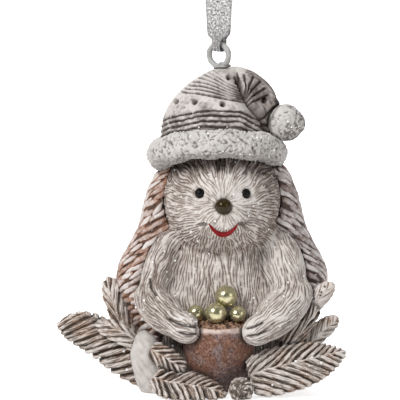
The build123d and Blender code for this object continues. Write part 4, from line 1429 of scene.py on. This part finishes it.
class FIGURINE_OT_sprigs(bpy.types.Operator):
    """Carves the needles of the fir sprigs"""

    bl_idname = "figurine.sprigs"
    bl_label = "Fir sprigs"

    def execute(self, context):
        tones = (paints().needle_groove, NEEDLE_FLANK, paints().needle_ridge)
        paint = resin("whitewashed needles", *tones, warm=NEEDLE_WARM)
        for seed, (name, facts) in enumerate(SPRIGS.items()):
            self.sprig(name, paint, seed, *facts)
        self.ball(paint)
        return {"FINISHED"}

    def leaf_places(self, points, tip):
        """How far points lie along a leaf and beside its middle line, its half width there, and both ways."""
        middle = points.mean(0)
        _, _, axes = np.linalg.svd(points[:: max(1, len(points) // 4000)] - middle, full_matrices=False)
        long = axes[0] * np.sign(axes[0] @ tip)
        wide = axes[1] * (np.sign(axes[1][2]) or 1)
        far = (points - middle) @ long
        side = (points - middle) @ wide
        steps = np.linspace(far.min(), far.max(), LEAF_STEPS + 1)
        bins = np.digitize(far, steps[1:-1])
        parts = [side[bins == step] if (bins == step).any() else np.zeros(1) for step in range(LEAF_STEPS)]
        tops = np.array([part.max() for part in parts])
        feet = np.array([part.min() for part in parts])
        centres = (steps[1:] + steps[:-1]) / 2
        middle_line = np.interp(far, centres, (tops + feet) / 2)
        half = np.interp(far, centres, (tops - feet) / 2).clip(0.4)
        return far, side - middle_line, half, long, wide

    def sprig(self, name, paint, seed, tip, rib, slant, pitch, share, dull):
        """One sprig, its needles swept from the midrib towards the tip."""
        mesh, points, normals = grown((name,), *GROWTH["sprig"])
        far, side, half, long, wide = self.leaf_places(points, np.array(tip, float))
        off = side - rib * half
        lean = math.radians(slant)

        # Needles of uneven strength beside the midrib, with dark gaps and fine strokes
        bend = 0.22 * ripple(points, 4.5, 90 + seed) + 0.04 * ripple(points, 0.8, 190 + seed)
        phase = (far * math.sin(lean) - np.abs(off) * math.cos(lean) + bend) / pitch + 100 + 0.37 * (off > 0)
        dice = np.random.default_rng(200 + seed)
        count = np.floor(phase).astype(int) * 2 + (off > 0)
        shift = dice.uniform(-0.16, 0.16, count.max() + 3)[count]
        strength = dice.uniform(0.6, 1.0, count.max() + 3)[count]
        turn = (phase % 1 + shift).clip(0, 1)
        needle = np.where(turn < NEEDLE_CREST, turn / NEEDLE_CREST, (1 - turn) / (1 - NEEDLE_CREST))
        needle = needle.clip(0, 1) ** 0.65
        hairs = 0.5 + 0.5 * np.sin(phase * 2 * math.pi * 3 + 1.5 * ripple(points, 1.2, 95 + seed))
        midrib = ease(0.34, 0.1, np.abs(off)) * (abs(rib) < 0.5)
        crest = np.maximum(needle * strength + 0.14 * (hairs - 0.5), 0.8 * midrib)
        gap = ease(0.15, 0.05, np.minimum(turn, 1 - turn)) * strength * (1 - midrib) * min(1, share + 0.1)
        flow = long * math.cos(lean) + wide * (math.sin(lean) * np.where(off > 0, 1, -1))[:, None]
        flow = turned(along_skin(flow, normals), normals, 0.12 * ripple(points, 1.6, 110 + seed))
        hair = stroked(points, normals, flow, *HAIR, dice, np.ones(len(points), bool), 0.04, 0.17)
        across, down = in_photo(points)
        pits = ease(*PIT_WIDTH, np.min([pixels_from(across, down, pit) for pit in PITS], axis=0))
        pits *= name == PITTED
        depth = sizes().needle_depth / MM * share
        lift = depth * (crest - 0.72 - 0.45 * gap) - 0.1 * hair + 0.04 * ripple(points, 0.5, 99 + seed)
        raise_skin(mesh, points, normals, lift - 0.5 * pits)

        tone = 1 - (1 - crest.clip(0, 1)) * min(1.0, share + 0.25)
        ridge = 0.25 + tone**1.15 + 0.1 * ripple(points, 1.5, 98) - 0.6 * hair - dull
        others = tuple(node for node in (*SPRIG_NEIGHBOURS, *SPRIGS) if node != name)
        # Painted shade, partly antiquing, where other pieces touch, in the pits and in the gaps between
        # needles
        grime = np.max([0.75 * ease(0.3, 1, nearness(points, others, 0.9)), pits, 0.95 * gap], axis=0)
        warm = (0.5 + 0.5 * ripple(points, 3, 97 + seed)).clip(0, 1)
        mark(mesh, ridge=ridge.clip(0, 1), grime=grime, warm=warm)
        piece(f"{name}_needles", mesh, paint, (name,))

    def ball(self, paint):
        """The round bud at the front, with short needles turned about it."""
        mesh, points, normals = grown(("sprig_front_ball",), *GROWTH["bud"])
        low, high = node_box("sprig_front_ball")
        middle = node_middle("sprig_front_ball")
        middle[2] = high[2] - (high[0] - low[0]) / 2
        way = unit(points - middle)
        turn = np.arctan2(way[:, 2], way[:, 0]) * 5 + 4.0 * way[:, 1] + 1.6 * ripple(points, 2.0, 101)
        needle = np.abs(np.sin(turn)) * (0.7 + 0.3 * ripple(points, 0.9, 102)).clip(0, 1)
        needle = (needle * 0.75 + 0.35 * ease(-0.6, 0.8, ripple(points, 0.6, 103, 12))).clip(0, 1)
        flow = along_skin(np.cross(way, [0.2, -1, 0.1]) + 0.5 * way * [1, 0, 1], normals)
        dice, everywhere = np.random.default_rng(104), np.ones(len(points), bool)
        hair = stroked(points, normals, flow, *BUD_HAIR, dice, everywhere, 0.05, 0.22)
        needle = (needle - 0.5 * hair).clip(0, 1)
        raise_skin(mesh, points, normals, 0.45 * (needle - 0.8))
        # Painted shade, partly antiquing, where the pot and sprigs touch the bud
        grime = 0.8 * ease(0.3, 1, nearness(points, BUD_NEIGHBOURS, 1.0))
        mark(mesh, ridge=0.1 + 0.9 * ease(0.1, 0.9, needle), grime=grime, warm=0.4 * needle)
        piece("sprig_front_ball_needles", mesh, paint, ("sprig_front_ball",))


# Ribbon


# Where the ribbon runs, in millimetres back and up from the wire's top: from its tail down to the wire
RIBBON_ROUTE = ((-3.4, 19.2), (-1.6, 14.6), (-1.4, 9.0), (-1.4, 3.6), (-1.4, 0.6), (-1.2, -1.5), (0, -1.55))
RIBBON_WIDTH = 6.0
RIBBON_THICKNESS = 0.22
# How wide it is at a length from where it leaves the wire, how far that is from its middle, and where it has
# turned to the front and spread out
RIBBON_WIDTHS = ((0.0, 2.1), (1.3, 2.3), (2.4, 4.4), (4.0, 5.1), (7.0, 5.6), (11.0, 6.0))
WIRE_HUG = 2.2
SPREAD_RISE = 4.2
# The weave's pitch across and along the ribbon, and the distance from its middle where its edge darkens
THREAD_PITCH = 0.32
RIB_PITCH = 0.45
RIBBON_EDGES = (2.6, 2.85)
# Where the knot starts and ends above the wire's top, and its half width and half depth
KNOT_RISE = (13.0, 15.8)
KNOT_HALVES = (2.75, 1.75)
KNOT_WEAVE = (1.4, 3.0)
# How deep the gathered ribbon's folds, the knot's folds and the spread ribbon's waves are, in millimetres
FOLD_DEPTH = 0.13
KNOT_FOLD_DEPTH = 0.12
WAVE_DEPTH = 0.12


class FIGURINE_OT_ribbon(bpy.types.Operator):
    """Runs the silver ribbon through the ring and ties its knot"""

    bl_idname = "figurine.ribbon"
    bl_label = "Ribbon"

    def execute(self, context):
        path = self.route()
        silver = self.weave()
        knot = self.knot(silver)
        strip = self.strip(path, silver)
        steps = np.linalg.norm(np.diff(path, axis=0), axis=1).sum()
        return {"FINISHED"}

    def route(self):
        """The ribbon's middle line as points on a smooth spline, in millimetres."""
        shape = [*RIBBON_ROUTE, *((-back, rise) for back, rise in reversed(RIBBON_ROUTE[:-1]))]
        curve = bpy.data.curves.new("ribbon route", "CURVE")
        curve.dimensions = "3D"
        curve.resolution_u = 12
        line = curve.splines.new("NURBS")
        line.points.add(len(shape) - 1)
        for point, (back, rise) in zip(line.points, shape):
            spread = ease(0.0, SPREAD_RISE, np.array([rise]))[0]
            way = -RING_FRONT * (1 - spread) + np.array([0, 1, 0]) * spread
            point.co = (*(WIRE_TOP + way * back + np.array([0, 0, rise])), 1)
        line.order_u = 3
        line.use_endpoint_u = True
        mesh = applied(placed("ribbon route", curve))
        path = read(mesh)
        bpy.data.meshes.remove(mesh)
        return path

    def weave(self):
        """Silver metal threads in a fine ribbed weave with darker edges, dark flecks and painted glints."""
        paint = Paint("silver ribbon")
        layer = paint.add("ShaderNodeUVMap", uv_map="UVMap").outputs["UV"]
        apart = paint.add("ShaderNodeSeparateXYZ")
        paint.join(layer, apart.inputs[0])
        across, along = apart.outputs["X"], apart.outputs["Y"]
        rib = paint.sum("SINE", paint.sum("MULTIPLY", along, 2 * math.pi / RIB_PITCH))
        thread = paint.sum("SINE", paint.sum("MULTIPLY", across, 2 * math.pi / THREAD_PITCH))
        cloth = paint.sum("MULTIPLY", paint.sum("ADD", rib, thread), 0.25)
        glint = paint.noise(0.5, 3, place=layer, roughness=0.75)
        shade = paint.blend(paint.spread(glint, 0.38, 0.62), RIBBON_SHADE, paints().ribbon)
        bright = paint.blend(paint.spread(glint, 0.57, 0.66, 0, 0.9), shade, RIBBON_PAINTED_GLINT)
        edge = paint.spread(paint.sum("ABSOLUTE", across), *RIBBON_EDGES, 0, 0.6)
        paint.set(Base_Color=paint.blend(edge, bright, RIBBON_EDGE), Metallic=0.55)
        paint.set(Roughness=paint.spread(glint, 0.3, 0.7, 0.55, 0.3))
        paint.relief(paint.sum("ADD", cloth, glint), 0.00012)
        return paint.material

    def strip(self, path, material):
        """The ribbon, gathered in folds at the wire and flat further up."""
        along = np.concatenate([[0], np.linalg.norm(np.diff(path, axis=0), axis=1).cumsum()])
        cloth = bmesh.new()
        bmesh.ops.create_grid(cloth, x_segments=28, y_segments=300, size=1)
        mesh = finished(cloth, "ribbon")
        points = read(mesh)
        side, share = points[:, 0], points[:, 1] * 0.5 + 0.5
        place, after, before = (
            np.column_stack([np.interp(share * along[-1] + step, along, path[:, axis]) for axis in range(3)])
            for step in (0, 0.3, -0.3)
        )
        way = unit(after - before)
        rise = np.abs(share - 0.5) * along[-1] - WIRE_HUG
        spread = ease(0.0, SPREAD_RISE, rise)
        width = np.interp(rise, [step for step, _ in RIBBON_WIDTHS], [wide for _, wide in RIBBON_WIDTHS])
        across = unit(RING_ACROSS * (1 - spread)[:, None] + np.array([1.0, 0, 0]) * spread[:, None])
        in_knot = ease(1.6, 0.6, np.abs(place[:, 2] - WIRE_TOP[2] - sum(KNOT_RISE) / 2))
        half = width / 2 * (1 - 0.3 * in_knot)
        face = unit(np.cross(way, across))
        folds = FOLD_DEPTH * (1 - spread) * np.sin(side * 8.5)
        folds += KNOT_FOLD_DEPTH * in_knot * np.sin(side * 9)
        waves = WAVE_DEPTH * spread * np.sin(side * 2.4 + share * 9)
        write(mesh, place + across * (side * half)[:, None] + face * (folds + waves)[:, None])
        lay_out(mesh, np.column_stack([side * RIBBON_WIDTH / 2, share * along[-1]]))
        made = piece("ribbon_strip", mesh, material, ("ribbon",), body="ribbon")
        modify(made, "thickness", "SOLIDIFY", thickness=RIBBON_THICKNESS * MM, offset=0)
        return made

    def knot(self, material):
        """A soft wrapped knot round both strands."""
        low, high = KNOT_RISE
        block = bmesh.new()
        bmesh.ops.create_cube(block, size=2)
        bmesh.ops.subdivide_edges(block, edges=block.edges, cuts=23, use_grid_fill=True)
        mesh = finished(block, "knot")
        cube = read(mesh)
        form = cube / (np.abs(cube) ** 4).sum(1, keepdims=True) ** 0.25
        grooves = 0.09 * np.sin(form[:, 2] * 9 + form[:, 0] * 1.6) * (1 - np.abs(form[:, 2]))
        halves = np.array([*KNOT_HALVES, (high - low) / 2])
        middle = WIRE_TOP + np.array([0, 0, (low + high) / 2])
        write(mesh, middle + form * halves * (0.95 + grooves)[:, None])
        lay_out(mesh, form[:, [2, 0]] * np.array(KNOT_WEAVE))
        return piece("ribbon_knot_wrap", mesh, material, ("ribbon_knot",), body="ribbon")


# Glitter


# Which pieces glitter, and how many flakes each one carries
GLITTER = {
    "hat_brim_fleece": 150,
    "hat_knit": 70,
    "hat_pompom_fleece": 20,
    "head_fur": 60,
    "arm_left_fur": 40,
    "arm_right_fur": 40,
    "torso_fur": 40,
    "quills": 90,
    "soil_grains": 14,
    "sprig_right_large_needles": 10,
    "sprig_left_large_needles": 10,
}
# How far the flakes stand off their pieces and how thick they are, in millimetres
FLAKE_LIFT = 0.09
FLAKE_THICKNESS = 0.05


class FIGURINE_OT_glitter(bpy.types.Operator):
    """Scatters flakes of glitter over the figurine"""

    bl_idname = "figurine.glitter"
    bl_label = "Glitter"

    def execute(self, context):
        dice = np.random.default_rng(7)
        flakes = bmesh.new()
        for name, count in GLITTER.items():
            mesh = bpy.data.objects[name].data
            points, normals = read(mesh) / MM, normals_of(mesh)
            shown = np.nonzero(points[:, 2] > 3)[0]
            for index in dice.choice(shown, count, replace=False):
                tilt = unit((normals[index] + dice.normal(0, 0.3, 3))[None])[0]
                turn = Vector(tilt).to_track_quat("Z", "Y").to_matrix().to_4x4()
                lift = Matrix.Translation(Vector(points[index] + normals[index] * FLAKE_LIFT))
                radius = sizes().flake / MM / 2 * dice.uniform(0.6, 1.2)
                bmesh.ops.create_cone(
                    flakes,
                    cap_ends=True,
                    segments=6,
                    radius1=radius,
                    radius2=radius,
                    depth=FLAKE_THICKNESS,
                    matrix=lift @ turn,
                )
        paint = Paint("glitter")
        hue = paint.spread(paint.noise(0.004, 1), 0.35, 0.65)
        paint.set(Base_Color=paint.blend(hue, *FLAKE_TONES), Roughness=0.3)
        made = piece("glitter_flakes", finished(flakes, "glitter"), paint.material)
        made.data.shade_flat()
        return {"FINISHED"}


# Panel and registration

STEPS = (
    FIGURINE_OT_stage,
    FIGURINE_OT_ribbon,
    FIGURINE_OT_fur,
    FIGURINE_OT_leg,
    FIGURINE_OT_quills,
    FIGURINE_OT_hat,
    FIGURINE_OT_fleece,
    FIGURINE_OT_eye_ring,
    FIGURINE_OT_face,
    FIGURINE_OT_pot,
    FIGURINE_OT_sprigs,
    FIGURINE_OT_glitter,
)


class FIGURINE_PT_panel(bpy.types.Panel):
    """Lists the figurine's steps, sizes and colours"""

    bl_idname = "FIGURINE_PT_panel"
    bl_label = "Figurine"
    bl_space_type = "VIEW_3D"
    bl_region_type = "UI"
    bl_category = "Figurine"

    def draw(self, context):
        for step in STEPS:
            self.layout.operator(step.bl_idname)
        for group in (sizes(), paints()):
            for name in group.__annotations__:
                self.layout.prop(group, name)


CLASSES = (FigurineSizes, FigurinePaints, *STEPS, FIGURINE_PT_panel)


def register():
    for kind in CLASSES:
        bpy.utils.register_class(kind)
    bpy.types.Scene.figurine_sizes = bpy.props.PointerProperty(type=FigurineSizes)
    bpy.types.Scene.figurine_paints = bpy.props.PointerProperty(type=FigurinePaints)


def unregister():
    del bpy.types.Scene.figurine_paints
    del bpy.types.Scene.figurine_sizes
    for kind in reversed(CLASSES):
        bpy.utils.unregister_class(kind)


def main():
    """Registers the add-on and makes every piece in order."""
    register()
    for step in STEPS:
        getattr(bpy.ops.figurine, step.bl_idname.split(".")[1])()


if __name__ == "__main__":
    main()
